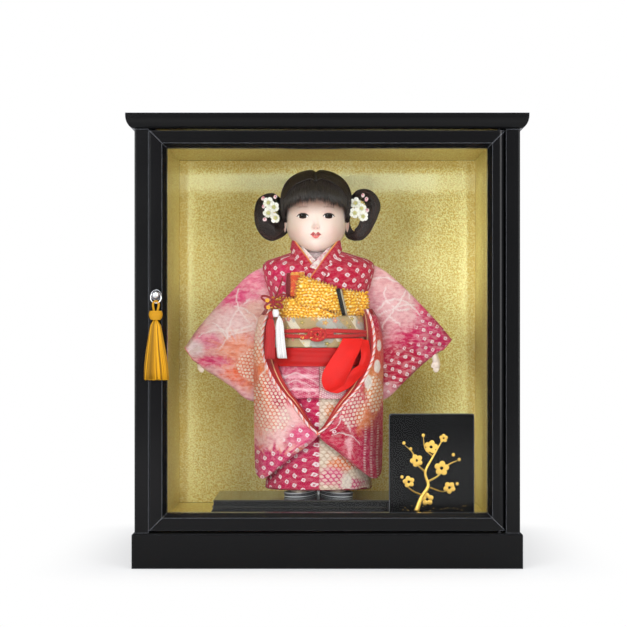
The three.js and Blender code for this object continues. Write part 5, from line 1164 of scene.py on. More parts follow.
def knobbly(outline_rows, lift, seed, fill, pitch=4.3, depth=3.0):
    """A padded strip of the scarf: rows of its height, left and right edge, over the bodice."""
    v = np.linspace(0, 1, 150)[:, None]
    rows = line_through(outline_rows, 150)[:, None]
    u = np.linspace(0, 1, 240)
    x = mix(rows[..., 1], rows[..., 2], u)
    z = rows[..., 0] + rows[..., 3] * (u - 0.5)
    in_side, in_end = np.minimum(u, 1 - u), np.minimum(v, 1 - v)
    edge = np.clip(in_side * 9, 0, 1)[None] * np.clip(in_end * 7, 0, 1)
    edge = np.sqrt(np.clip(1 - (1 - edge) ** 2, 0, 1))
    near_side = np.clip(1 - in_side * 16, 0, 1)[None]
    near_end = np.clip(1 - in_end * 9, 0, 1)
    points_out = 2.5 * np.abs(np.sin(z * math.pi / 3.1 + 1)) ** 1.5
    points_up = 2.5 * np.abs(np.sin(x * math.pi / 3.3)) ** 1.5
    x, z = (x + np.sign(u - 0.5) * near_side * points_out,
            z + np.sign(v - 0.5) * near_end * points_up)
    p, q = x / pitch, z / (pitch * 0.82)
    p = p + 0.5 * (np.floor(q) % 2) + 0.9 * cloud(x / 8, z / 8, seed)
    q = q + 0.9 * cloud(x / 9, z / 9, seed + 2)
    top = 1 - np.hypot(p - np.floor(p) - 0.5, q - np.floor(q) - 0.5) / 0.62
    top = np.clip(top, 0, 1)
    top = top * (0.75 + 0.35 * noise2(np.floor(p) * 3.7, np.floor(q) * 5.3, seed + 9))
    sag = 0.9 * np.sin(x / 7 + z / 9 + seed) + 0.6 * cloud(x / 8, z / 8, seed + 5)
    out = front_of(bodice, np.clip(x, -45, 45), z) + lift + edge * (fill + sag) + top * depth * edge
    # The tone that colours the scarf: each point's top, lowered towards the strip's sides as
    # painted shade.
    return join(x, -out, z), np.clip((top**1.2 * 1.05 + 0.06) * (0.35 + 0.65 * edge), 0, 1)


def dress_obiage():
    """The scarf above the obi, in four strips: its height, left and right edge, and slant."""
    pile = Pile()
    strips = [
        ([[195.5, -44, 48, 0], [202, -46, 49.5, 0], [208, -45, 50.5, 0], [213.5, -43, 50, 0]],
         0.8, 1, 1.2),
        ([[204.5, -23, 25, -9], [212, -23.5, 25.5, -10], [220, -22.5, 25, -11],
          [227, -21, 23, -12.5], [232.5, -18.5, 19, -13.5]], 6.0, 2, 4.2),
        ([[194.5, -46, 22, 0], [199, -50, 17, -2.5], [204, -51.5, 8, -3.5], [209, -51.5, -4, -3],
          [214.5, -49, -17, -1]], 3.2, 3, 3.4),
        ([[197.5, 25.5, 51.5, 0], [206, 25, 53.5, 0], [214.5, 25.5, 53.5, -1],
          [222, 27, 52, -3]], 2.6, 4, 3.0),
    ]
    for rows, lift, seed, fill in strips:
        points, tone = knobbly(rows, lift, seed, fill)
        pile.grid(points, marks=join(tone, 0, 0))
    pile.object("obiage_scarf", SHIBORI, "case", "obiage", slot="yellow_shibori")


def pillow(outline, depth, centre, levels, folds=0.0, seed=0):
    """A stuffed shape inside an outline of x and z, its two faces bulging along y."""
    outline, middle = np.array(outline, float), np.array(centre, float)
    s = np.sin(np.linspace(0, math.pi, levels))[:, None, None]
    sign = np.linspace(1, -1, levels)[:, None]
    flat = middle + (outline - middle) * s
    rise = np.sqrt(np.clip(1 - s[..., 0] ** 2.6, 0, 1)) * np.sign(sign) * depth / 2
    angle = np.arctan2(outline[:, 1] - middle[1], outline[:, 0] - middle[0])
    rise = rise * (1 + folds * np.sin(angle * 11 + seed) * s[..., 0])
    return join(flat[..., 0], rise, flat[..., 1])


def smooth_outline(points, count):
    """A closed line through points."""
    points = np.array(points, float)
    ring = np.vstack([points[-2:], points, points[:3]])
    t = np.linspace(2, 2 + len(points), count, endpoint=False) / (len(ring) - 1)
    return through(ring)(t)


def dress_bow():
    w, h, z0 = 37, 33, 182.6
    half = [[0.1, 0.16], [0.5, 0.7], [0.9, 0.98], [1.0, 0.6], [0.93, 0.06]]
    lower = [[0.93, -0.04], [1.0, -0.5], [0.86, -0.98], [0.42, -0.84], [0.1, -0.3]]
    pieces = []
    for side in (-1, 1):
        for rows, behind, depth, rise in ((half, 52, 13, 0.4), (lower, 47.5, 11, -0.4)):
            outline = [[side * x * w, z0 + z * h] for x, z in rows] + [[side * 2, z0]]
            points = pillow(smooth_outline(outline, 140), depth, (side * 0.5 * w, z0 + rise * h),
                            26, 0.12, side)
            pieces.append(points + (0, behind, 0))
    a = turn_of(60)
    t = np.linspace(-1, 1, 24)[:, None]
    bulge = 1 - 0.16 * t * t
    pieces.append(join(8.5 * bulge * np.cos(a) * (1 + 0.03 * np.sin(a * 9)),
                       49 + 9.5 * bulge * np.sin(a), z0 + t * 13))
    pile = Pile()
    for points in pieces:
        uv = join(wrap_columns(points[..., 0]), wrap_columns(points[..., 2]))
        pile.grid(points, True, uv)
    pile.object("obi_bow_silk", OBI_SILK, "case", "obi_bow", slot="beige_brocade")


def dress_pouch():
    base, left, right = 217.5, -34.8, -14.5
    corners = np.array([[left, base], [right, base - 2], [right - 0.4, base + 25.5],
                        [left + 0.6, base + 24.4]])
    ring = smooth_outline([mix(corners[i], corners[(i + 1) % 4], t)
                           for i in range(4) for t in (0.03, 0.2, 0.5, 0.8, 0.97)], 150)
    x, y, z = axes(pillow(ring, 3.6, corners.mean(0), 22))
    points = join(x, -(front_of(bodice, x, z) + 2.6) - y, z)
    side = 1 - smooth(x - left, 4.6, 5.2)
    dye = tinted(rgb(222, 72, 24), rgb(244, 176, 60),
                 smooth(noise2(x * 1.3, z * 1.3, 7), 0.25, 0.6) * 0.8)
    dye = tinted(dye, rgb(120, 14, 30), side)
    dye = tinted(dye, rgb(246, 206, 110), bell(z - (base + 23.4), 0.9) * (1 - side))
    made = Pile().grid(points, True, dye=dye).object(
        "pouch_brocade", BROCADE_PLAIN, "case", "brocade_pouch", slot="orange_brocade")
    fringe = Pile()
    top = base + 24.4
    for i in range(60):
        x = mix(left + 6, right - 0.8, i / 59)
        y = -float(front_of(bodice, x, base + 24)) - 3.6
        lean = 0.5 * math.sin(i * 2.4)
        fringe.tube([[x, y, top - 1.5], [x + lean * 0.5, y - 0.5, top + 0.3],
                     [x + lean, y - 0.2, top + 1.2]], 0.26, 5,
                    dye=rgb(250, 190, 80) if i % 3 else rgb(240, 90, 40))
    fringe.object("pouch_fringe", THREAD, "case", "brocade_pouch", slot="orange_brocade")


def dress_fan():
    """The folded fan's blades, black ones and pale paper, and its guard."""
    foot, head, z0, z1 = 28.4, 22.0, 196.5, 225.5
    black, paper = (rgb(18, 17, 18), 2.6), (rgb(176, 162, 140), 2.0)
    pile = Pile()
    lean = np.linspace(0, 1, 10)
    for k in range(6):
        tint, ahead = black if k < 4 else paper
        x = mix(foot, head, lean) + (k - 2.5) * 0.95
        z = mix(z0, z1 - abs(k - 2) * 0.5, lean)
        y = -front_of(bodice, x, z) - 9.4 - ahead - 0.3 * lean
        pile.tube(join(x, y, z), 0.62, 8, dye=tint, squash=2.2)
    rib = np.linspace(0, 1, 8)
    x = mix(foot, head, rib) + 2.9
    z = mix(z0, z1 - 2, rib)
    pile.tube(join(x, -front_of(bodice, x, z) - 10.8, z), 0.34, 6, dye=rgb(214, 200, 176))
    pile.object("fan_blades", LACQUER_PAINT, "case", "folding_fan", slot="black_lacquer")


def tuft(pile, top, length, radius, foot, count, tint, seed, depth, lean, curl, thickness,
         vary=0.16):
    """Many yarns hanging from a point, spreading to their foot."""
    rng = random.Random(seed)
    top = np.array(top, float)
    for i in range(count):
        r = math.sqrt((i + 0.5) / count)
        a = i * 2.39996
        across, ahead = r * math.cos(a), r * math.sin(a)
        end = length * (1 + 0.012 * rng.uniform(-1, 1))
        path = []
        for t in np.linspace(0, 1, 9):
            spread = radius * (1 - (1 - t) ** 3) ** 0.5 * (1 - t) + foot * t
            spread = mix(min(radius, spread + 0.4), foot, t * t * (3 - 2 * t) * 0.9 + 0.1 * t)
            wave = curl * math.sin(t * 5 + a * 3) * t
            path.append(top + (across * spread + lean * t * t + wave * 0.5,
                               ahead * spread * depth + wave * 0.3, -end * t))
        bright = 1 + vary * rng.uniform(-1, 1)
        pile.tube(path, thickness, 5, dye=shaded(tint, bright))


def dress_pouch_tassels():
    x, top = -46.0, 200.0
    y = -float(drop_depth(x)) - 6 - 3
    pile = Pile()
    tuft(pile, (x - 4.9, y + 0.4, top - 4), 46, 4.2, 5.2, 150, rgb(196, 22, 30), 1, 0.62, -1.0,
         0.3, 0.42)
    tuft(pile, (x + 4.6, y - 0.2, top - 4), 45, 3.8, 5.0, 150, rgb(246, 244, 246), 2, 0.62, 3.0,
         0.3, 0.42)
    a = turn_of(26)
    for centre, tint, radius in (((x + 0.6, y - 0.9, top - 1.2), rgb(246, 244, 248), 3.4),
                                 ((x - 4.6, y - 0.1, top - 3.4), rgb(176, 18, 26), 3.0)):
        for k in range(11):
            lift = mix(-3.6, 3.6, k / 10)
            wide = radius * math.sqrt(max(0.12, 1 - (lift / 4.6) ** 2))
            ring = join(wide * np.cos(a), wide * 0.8 * np.sin(a), lift) + np.array(centre)
            pile.tube(ring, 0.46, 6, True, dye=tint)
        pile.ball(centre, (radius * 0.9, radius * 0.72, 3.8), 14, dye=tint)
    pile.object("pouch_tassel_yarns", THREAD, "case", "pouch_tassels", slot="red_cloth")
    cords = Pile()
    red = rgb(150, 14, 22)
    t = turn_of(40)
    centre = np.array([x - 1.8, y - 0.4, 211.0])
    for angle, size in ((0.5, 8.5), (math.pi - 0.4, 8.0), (-0.55, 6.5), (math.pi + 0.6, 6.5)):
        along, wide = size * (1 - np.cos(t)) / 2 * 1.7, size * 0.34 * np.sin(t)
        c, s = math.cos(angle), math.sin(angle)
        loop = join(along * c - wide * s, -1.2 * np.sin(t / 2), along * s + wide * c)
        cords.tube(loop + centre, 1.2, 8, True, dye=red)
    cords.ball(centre + (0, -1, 0), (2.4, 2.0, 2.2), 12, dye=rgb(160, 16, 24))
    cords.tube([centre, centre + (-0.4, 0.2, -5), (x, y, top + 2)], 1.0, 8, dye=red)
    up = line_through([centre, centre + (3.5, 4, 8), centre + (7.5, 6.5, 19),
                       centre + (9.5, 8.5, 26)], 24)
    up[:, 1] = np.minimum(up[:, 1], -front_of(bodice, up[:, 0], up[:, 2]) - 2.2)
    cords.tube(up, 0.95, 8, dye=red)
    for dx, dz in ((-6.5, 1.5), (-5.5, -6.0)):
        for k in range(5):
            a = k * TAU / 5
            cords.ball(centre + (dx + 1.3 * math.cos(a), -1.6, dz + 1.3 * math.sin(a)),
                       (1.25, 1.1, 1.25), 10, dye=rgb(250, 186, 50))
    cords.object("pouch_cords", THREAD, "case", "pouch_tassels", slot="red_cloth")


# Head, hair and hands

head_shape = form(
    [[0, 0.2, 0.66, 0.0], [0.03, 0.42, 0.8, 0.12], [0.1, 0.68, 0.9, 0.3], [0.2, 0.9, 0.97, 0.58],
     [0.33, 1.01, 1, 0.82], [0.5, 1.01, 1, 1], [0.65, 0.97, 0.98, 1.03], [0.8, 0.83, 0.88, 0.95],
     [0.92, 0.56, 0.62, 0.68], [1, 0.15, 0.2, 0.2]], 265.5, 86, 32.5, 35, 33, 2.0, -2.6)
hair_shape = form(
    [[0, 0.5, 0.2, 0.78], [0.08, 0.78, 0.5, 0.94], [0.24, 0.94, 0.9, 1], [0.45, 1, 1, 1],
     [0.66, 0.96, 0.97, 0.97], [0.83, 0.8, 0.84, 0.84], [0.94, 0.53, 0.58, 0.58],
     [1, 0.18, 0.2, 0.2]], 286, 70, 38.9, 41.4, 40.4, 2.0, -2.6)
FACE_X = -2.8
EYE = (13.9, 303.1)  # from FACE_X to an eye's middle, and its height


def blob(across, up, cx, cz, rx, rz):
    return np.exp(-(((across - cx) / rx) ** 2) - ((up - cz) / rz) ** 2)


def features(x, z):
    """How far the modelled face stands out from the plain head."""
    a = x - FACE_X
    w = np.abs(a)
    nose = 1.9 * bell(a, 2.7) * smooth(304 - z, 0, 12) * (1 - smooth(290.9 - z, -1.6, 1.6))
    nose = nose + 1.5 * blob(w, z, 0, 292.1, 2.5, 2.1) + 1.2 * blob(w, z, 3.0, 291.0, 1.4, 1.5)
    lips = 0.9 * blob(w, z, 0, 283, 9, 7) + 1.0 * blob(w, z, 0, 284.5, 4.4, 1.1)
    lips = lips + 1.3 * blob(w, z, 0, 280.9, 3.4, 1.3)
    lips = lips - 1.0 * bell(w, 5.0) * bell(z - 282.8 - 0.02 * w**2, 0.42)
    lips = lips - 0.7 * blob(w, z, 5.8, 282.9, 1.1, 1.0) - 0.35 * blob(w, z, 0, 287.3, 0.9, 1.8)
    chin = 1.3 * blob(w, z, 0, 271.8, 6.5, 4) - 0.7 * blob(w, z, 0, 277.6, 4.2, 1.4)
    cheek = 1.9 * blob(w, z, 18.5, 286.5, 9, 9)
    eyes = -1.5 * blob(w, z, EYE[0], 304.6, 7.8, 4.2) + 1.0 * blob(w, z, EYE[0], 304.2, 5.8, 2.4)
    return nose + lips + chin + cheek + eyes + 0.4 * blob(w, z, 13, 312, 9, 3)


def face_out(x, z):
    return front_of(head_shape, x, z) + features(x, z)


def dress_head():
    """The head's painted skin with neck and ears, and for each eye its glass and its lids."""
    points, angle, _ = tower(head_shape, 270, 300, 0.0, None, 0.5)
    x, y, z = axes(points)
    ahead = smooth(-np.sin(angle), 0.0, 0.35)
    y -= features(x, z) * ahead
    a = x - FACE_X
    w = np.abs(a)
    brow_z = 313.6 - 0.018 * (w - 13.5) ** 2
    brow = bell(z - brow_z, 0.95) * smooth(w, 7, 10) * (1 - smooth(w, 17, 21))
    hairs = 0.6 + 0.4 * noise2(a * 2.4, z * 0.8, 3)
    lip_top = 282.9 + 3.1 * np.clip(1 - (w / 6.4) ** 2.2, 0, 1)
    lip_top = lip_top - 1.9 * bell(a, 1.5) + 0.8 * bell(w - 2.7, 1.3)
    lip_line = 282.8 + 0.02 * w**2
    lip_foot = 282.9 - 3.7 * np.clip(1 - (w / 4.9) ** 2.0, 0, 1)
    upper = smooth(lip_top - z, -0.15, 0.25) * smooth(z - lip_line, -0.25, 0.1)
    lower = smooth(z - lip_foot, -0.2, 0.4) * smooth(lip_line - z, -0.1, 0.3)
    inside = 1 - smooth(w, 5.8, 6.4)
    paint = np.broadcast_to(rgb(237, 216, 206), points.shape)
    for colour, share in (
            # Cheeks, chin and nose, lids, painted shade in the lip's groove, painted shadow of the
            # fringe on the forehead, brows, painted shade in the nostrils
            ((242, 176, 166), 0.3 * blob(w, z, 19, 286.5, 8, 7.5)),
            ((240, 190, 178), 0.35 * blob(w, z, 0, 268, 9, 4) + 0.3 * blob(w, z, 0, 291, 3.5, 3)),
            ((232, 176, 164), 0.45 * blob(w, z, EYE[0], 307.2, 8, 2.2)),
            ((226, 160, 150), 0.35 * blob(w, z, 0, 288.7, 4.4, 0.9)),
            ((150, 108, 90), 0.9 * smooth(z, 303, 318)),
            ((84, 56, 48), 0.85 * brow * hairs),
            ((150, 84, 78), 0.85 * blob(w, z, 1.75, 290.0, 0.75, 0.42)),
            # Upper lip, lower lip and its painted highlight, the line between them, teeth
            ((178, 18, 32), 0.97 * upper * inside),
            ((224, 62, 66), 0.93 * lower * inside),
            ((246, 170, 160), 0.5 * lower * blob(w, z, 1.2, 281.0, 1.6, 0.7)),
            ((110, 20, 28), 0.85 * bell(z - lip_line, 0.3) * (1 - smooth(w, 4.9, 5.8))),
            ((250, 240, 236), 0.9 * blob(w, z, 0.95, 283.1, 0.6, 0.42))):
        paint = tinted(paint, rgb(*colour), np.clip(share * ahead, 0, 1))
    pile = Pile().grid(points, True, dye=paint)
    pile.ball((NECK_X, 2, 268), (12, 13, 8), 30, dye=rgb(238, 210, 197))
    neck = line_through([[NECK_X, 0.5, 244], [NECK_X, 0.5, 262], [NECK_X, 0.8, 268],
                         [NECK_X, 1, 280]], 20)
    pile.tube(neck, np.interp(neck[:, 2], [244, 262, 266, 280], [8, 10.3, 10.4, 12.5]), 48,
              dye=rgb(238, 210, 197))
    u, v = np.linspace(0, 1, 40)[:, None], turn_of(60)[None]
    rim = 8.4 * (1 - 0.12 * np.cos(v) + 0.1 * np.sin(v * 2))
    dish = 1.6 * np.sin(math.pi * np.clip(u * 1.1, 0, 1)) - 1.3 * bell(u - 0.45, 0.2)
    up, back = rim * u * np.sin(v), rim * u * 0.56 * np.cos(v)
    tint = tinted(rgb(238, 206, 194), rgb(226, 160, 148), bell(u - 0.45, 0.25) * 0.6)
    for side in SIDES:
        x = side * (33.4 + 0.35 * back + dish * 1.3 + 1.2 * u) + NECK_X
        ear = join(x, 1.2 + back, 296.8 + up)
        pile.grid(ear, True, dye=tint + 0 * ear)
    pile.object("head_skin", SKIN, "head", "head", slot="shell_white")
    for side, name in SIDES.items():
        dress_eye(side, name)


def dress_eye(side, name):
    cx = FACE_X + side * EYE[0]
    p = np.linspace(-1, 1, 61)
    upper = EYE[1] + 3.0 * np.clip(1 - np.abs(p) ** 2.5, 0, 1) + 0.15 * p * side
    lower = EYE[1] - 2.3 * np.clip(1 - np.abs(p) ** 2.2, 0, 1) + 0.15 * p * side
    q = np.linspace(0, 1, 41)[:, None]
    x, z = np.broadcast_arrays(cx + 6.1 * p, mix(lower, upper, q))
    dome = 0.5 * np.clip(1 - ((x - cx) / 6.4) ** 2 - ((z - 303.3) / 3.4) ** 2, 0, 1)
    far = np.hypot(x - cx, (z - 303.45) * 0.96)
    glint = np.hypot(x - cx + 1.15, z - 304.6)
    paint = np.broadcast_to(rgb(244, 240, 238), x.shape + (3,))
    for colour, share in (
            # The white's corners, iris, its lighter foot, pupil, shadow of the lid, glint
            ((206, 158, 154), 0.6 * smooth(np.abs(x - cx), 4.8, 6.2)),
            ((18, 10, 8), 1 - smooth(far, 3.9, 4.2)),
            ((62, 32, 18), 0.6 * (1 - smooth(far, 3.3, 4.1)) * smooth(303.4 - z, -1.2, 1.6)),
            ((8, 5, 5), 1 - smooth(far, 1.7, 2.1)),
            ((20, 12, 10), 0.8 * smooth(q + 0 * x, 0.82, 0.97)),
            ((255, 255, 255), 0.3 - 0.3 * smooth(glint, 0.3, 0.5))):
        paint = tinted(paint, rgb(*colour), np.clip(share, 0, 1))
    Pile().grid(join(x, -(face_out(x, z) + 0.05 + dome), z), dye=paint).object(
        f"eye_{name}", EYE_GLASS, "head", "head", slot="shell_white")

    def along_lid(half, z, lift):
        return join(cx + half * p, -face_out(cx + half * p, z) - lift, z)

    lids = Pile()
    lid = along_lid(6.2, upper, 0.35)
    lids.tube(lid + (0, 0, 0.1), 0.24 + 0.5 * np.sqrt(np.clip(1 - p**2, 0, 1)), 8,
              dye=rgb(34, 20, 17))
    wing = (lid[-1] if side > 0 else lid[0]) + (0, 0, 0.1)
    lids.tube([wing, wing + (side * 0.7, 0.1, -0.15), wing + (side * 1.3, 0.4, -0.1)],
              np.array([0.2, 0.14, 0.05]), 6, dye=rgb(60, 38, 32))
    lids.tube(along_lid(6.0, lower, 0.12) - (0, 0, 0.05), 0.16, 6, dye=rgb(196, 138, 128))
    for k in range(15):
        s = mix(-0.85, 0.98, k / 14)
        root = lid[int((s + 1) / 2 * 60)] + (0, 0, 0.05)
        tip = root + (0.9 * s + 0.1 * side, -0.55, 0.75 - 0.25 * abs(s))
        lids.tube([root, (root + tip) / 2 + (0, -0.12, -0.05), tip],
                  np.array([0.1, 0.07, 0.03]), 5, dye=rgb(50, 32, 28))
    # The crease above the lid is a line of painted shade.
    crease = along_lid(6.3, upper + 1.45 - 0.4 * np.abs(p), 0.02)
    lids.tube(crease[4:-2], 0.13, 6, dye=rgb(206, 152, 142))
    lids.object(f"eyelids_{name}", THREAD, "head", "head", slot="black_hair")


def skin():
    """Polished shell-white paint, with the blush and lips that come with the mesh."""
    s = Shader("shell_white_skin")
    place = s.place()
    cloudy = s.noise(place, 90, 3)
    colour = s.blend(s.step(cloudy, 0.35, 0.75) * 0.14, s.dye(), (0.9, 0.66, 0.6))
    fine = s.noise(place, 1500, 2)
    return s.surface(colour, fine * 0.06 + 0.4, s.bump(fine, 0.00003, 0.5),
                     Subsurface_Weight=0.12, Subsurface_Scale=0.002, Specular_Ior_Level=0.4)


def hair_shader():
    s = Shader("doll_hair")
    streak = s.noise(s.moved(s.place(), (1, 1, 0.2)), 900, 3)
    colour = s.blend(s.step(streak, 0.4, 0.8) * 0.35, s.dye(), rgb(66, 44, 38))
    return s.surface(colour, streak * 0.2 + 0.3, s.bump(streak, 0.0001, 0.5),
                     Specular_Ior_Level=0.5, Anisotropic=0.5)


def hair_edge(angle, x):
    """The height where the hair ends, round the head: fringe, sides, back."""
    a = np.abs(x - FACE_X)
    edge = mix(330.5 - 0.0095 * a**2, 303.5, smooth(a, 33.2, 34.8))
    return mix(edge, 286.5, smooth(np.sin(angle), 0.05, 0.5))


# Round each looped bunch: x, z and the bunch's half thickness.
BUNCHES = {
    -1: [[-42, 321, 4], [-51, 326, 5], [-60, 321, 7], [-61.5, 311, 8.5], [-60, 300, 9.5],
         [-54, 290.5, 10], [-46, 288.5, 9], [-40, 296, 8], [-40, 309, 6]],
    1: [[36, 322, 4], [44, 329, 5.5], [54, 328, 7], [60, 318, 7.6], [57.5, 308, 7.6],
        [53.5, 299, 7.6], [48.5, 290, 7.2], [41, 284.5, 6.6], [34.5, 287, 5], [31.5, 297, 3],
        [32, 310, 3]],
}


def dress_hair():
    """The cap under the hair, then its strands: all round, fringe, crown, and two bunches."""
    points, angle, t = tower(hair_shape, 150, 300, -1.1)
    x, z = points[..., 0], points[..., 2]
    z -= 5.4 * bell(x - NECK_X, 3.2) * smooth(t, 0.7, 0.95)
    keep = z > hair_edge(angle, x) - 0.3
    ink, brown = rgb(24, 18, 18), rgb(30, 22, 21)
    Pile().grid(points, True, dye=ink, keep=keep).object(
        "hair_cap", HAIR, "head", "hair", slot="black_hair")
    base, height = hair_shape["base"], hair_shape["height"]
    rng = random.Random(7)
    strands = Pile()
    count = 1900
    share = np.linspace(0, 1, 15)
    for i in range(count):
        turn = (i + rng.uniform(-0.5, 0.5)) / count
        angle = -math.pi / 2 + math.pi * (2 * turn - 1)
        lift = rng.uniform(-0.9, 0.5)
        start = rng.uniform(0.93, 1.0)
        bend = rng.uniform(-0.05, 0.05)
        drift = rng.uniform(-0.035, 0.035)
        foot = float(hair_edge(np.array(angle), np.array(NECK_X + 38 * math.cos(angle))))
        foot += rng.uniform(-1.3, 1.4) if math.sin(angle) < 0 else rng.uniform(-0.6, 2)
        if foot > 312:
            foot -= 4.5
        t = np.linspace(start, max(0.0, (foot - base) / height), 15)
        up, wide, fore, aft = hair_shape["at"](t).T
        a = angle + bend * np.sin(share * 3) + drift * share
        c, d = np.cos(a), np.sin(a)
        depth = np.where(d < 0, fore * hair_shape["fore"], aft * hair_shape["aft"]) + lift
        x = c * (wide * hair_shape["half"] + lift) + NECK_X
        parting = bell(x - NECK_X, 4.0) * smooth(t, 0.72, 0.96)
        z = base + up * height + 0.5 * lift - 5.4 * parting
        x = x + np.sign(c) * 0.9 * parting
        radius = 0.34 * (1 - 0.65 * smooth(share, 0.8, 1))
        tone = rng.uniform(0.75, 1.5)
        if d.mean() < 0:
            depth = depth - 0.8 * smooth(share, 0.75, 1)
        strands.tube(join(x, d * depth, z), radius, 5, dye=shaded(brown, tone))
    count = 760
    share = np.linspace(0, 1, 14)
    for i in range(count):
        x0 = FACE_X + mix(-34.5, 34.5, (i + rng.random()) / count)
        a = abs(x0 - FACE_X)
        clump = 1.9 * float(noise2(x0 * 0.55, 0, 5)) + 1.1 * float(noise2(x0 * 1.6, 3, 6))
        foot = 320.6 - 0.0082 * a**2 + clump + rng.uniform(-1.8, 3.6) - 4.2 * rng.random() ** 3
        z = mix(rng.uniform(337, 344) - 0.011 * a**2, foot, share)
        slip = 0.06 * (x0 - FACE_X) + 0.8 * float(noise2(x0 * 0.4, 9, 8)) + rng.uniform(-0.7, 0.7)
        x = x0 - slip * (1 - share)
        lift = -0.9 + 1.7 * smooth(share, 0, 0.6) + rng.uniform(-0.25, 0.25)
        y = -front_of(hair_shape, np.clip(x, -40.6, 35.4), z) - lift + 1.2 * smooth(share, 0.75, 1)
        strands.tube(join(x, y, z), 0.25 * (1 - 0.8 * smooth(share, 0.6, 1)), 5,
                     dye=shaded(rgb(38, 34, 31), rng.uniform(0.7, 1.9)))
    count = 720
    share = np.linspace(0, 1, 20)
    for i in range(count):
        side = -1 if i % 2 else 1
        k = (i + rng.random()) / count
        a = mix(0.2, 37.6 - 2 * k, share)
        z = mix(343.4, 355.4, k) - (0.0125 * a**2 + 3e-6 * a**4) * (1 - 0.1 * k)
        z = z - 4.4 * bell(a, 2.8) + 0.5 * np.sin(a * 0.3 + k * 40) * share
        x = FACE_X + side * a
        lift = 0.9 + 2.0 * bell(k - 0.06, 0.1) * smooth(a, 0, 6) + rng.uniform(-0.3, 0.4)
        lift = lift * (1 - 0.6 * smooth(share, 0.7, 1))
        # Strands near the parting are painted much darker, as painted shade in the parting.
        tone = rng.uniform(0.7, 1.5) * (0.15 + 0.85 * smooth(a, 0.6, 4.5))[:, None]
        strands.tube(join(x, -front_of(hair_shape, np.clip(x, -41, 35.8), z) - lift, z), 0.36, 5,
                     dye=np.array(rgb(30, 23, 21)) * tone)
    strands.object("hair_strands", HAIR, "head", "hair", slot="black_hair")
    t = turn_of(72)
    for side, name in SIDES.items():
        x, z, radius = smooth_outline(BUNCHES[side], 72).T
        behind = 7.5 * (1 - smooth(np.abs(x - NECK_X), 36, 47))
        centre = join(x, 3 + 0.8 * np.sin(t * 2) + behind, z)
        along = unit(np.roll(centre, -1, 0) - np.roll(centre, 1, 0))
        out, ahead = np.cross(along, (0, 1, 0)), np.array((0, 1, 0))
        pile = Pile().tube(centre, radius * 0.84, 20, True, dye=ink)
        for i in range(330):
            r = math.sqrt(rng.uniform(0.5, 1.06))
            a0 = rng.uniform(0, TAU)
            a = (a0 + 0.5 * np.sin(t + a0) + 0.2 * np.sin(3 * t + i))[:, None]
            path = centre + (out * np.cos(a) + ahead * np.sin(a)) * (radius * r)[:, None]
            tone = rng.uniform(0.7, 1.5)
            base = rgb(74, 40, 32) if rng.random() < 0.16 else brown
            pile.tube(path, 0.33, 5, True, dye=shaded(base, tone))
        pile.object(f"hair_bunch_{name}_strands", HAIR, "head", f"hair_bunch_{name}",
                    slot="black_hair")


def flower(pile, centre, size, tilt, spin):
    """A five-petalled blossom with its stamens."""
    turn = np.array(Matrix.Rotation(tilt[0], 3, "X") @ Matrix.Rotation(tilt[1], 3, "Z"))
    centre = np.array(centre, float)
    r, v = np.linspace(0, 1, 14)[:, None], np.linspace(-1, 1, 15)[None]
    wide = 0.5 * np.sqrt(np.clip(1 - (2 * r - 1.25) ** 2 / 1.6, 0, 1)) ** 0.9 + 0.02
    notch = 1 - 0.05 * bell(v, 0.3) * r - 0.24 * v**2 * r
    along, across = (0.12 + 0.94 * r * notch) * size, v * wide * size
    cup = -1.9 * r**1.5 + 1.5 * v**2 * wide
    tint = tinted(rgb(250, 250, 244), rgb(150, 168, 96), (1 - smooth(r, 0.05, 0.5)) * 0.75 + 0 * v)
    # Each petal is painted darker along its middle crease and towards its sides, as painted shade
    # between the petals.
    tint = tint * (1 - 0.12 * bell(v, 0.12) - 0.42 * smooth(np.abs(v), 0.72, 1.0))[..., None]
    for k in range(5):
        a = spin + k * TAU / 5
        c, s = math.cos(a), math.sin(a)
        petal = join(along * c - across * s, (cup - 0.45 * (k % 2)) * size / 4.5,
                     along * s + across * c)
        pile.grid(petal @ turn.T + centre, dye=tint)
    reach = size * 0.3
    for k in range(9):
        a = k * TAU / 9 + spin
        tip = np.array([reach * math.cos(a), -2.2, reach * math.sin(a)]) @ turn.T + centre
        pile.tube([centre, (centre + tip) / 2, tip], 0.12, 5, dye=rgb(236, 232, 170))
        pile.ball(tip, (0.36, 0.36, 0.36), 7, dye=rgb(238, 196, 60))
    pile.ball(centre + (0, -0.4, 0), (0.9, 0.7, 0.9), 10, dye=rgb(196, 206, 110))


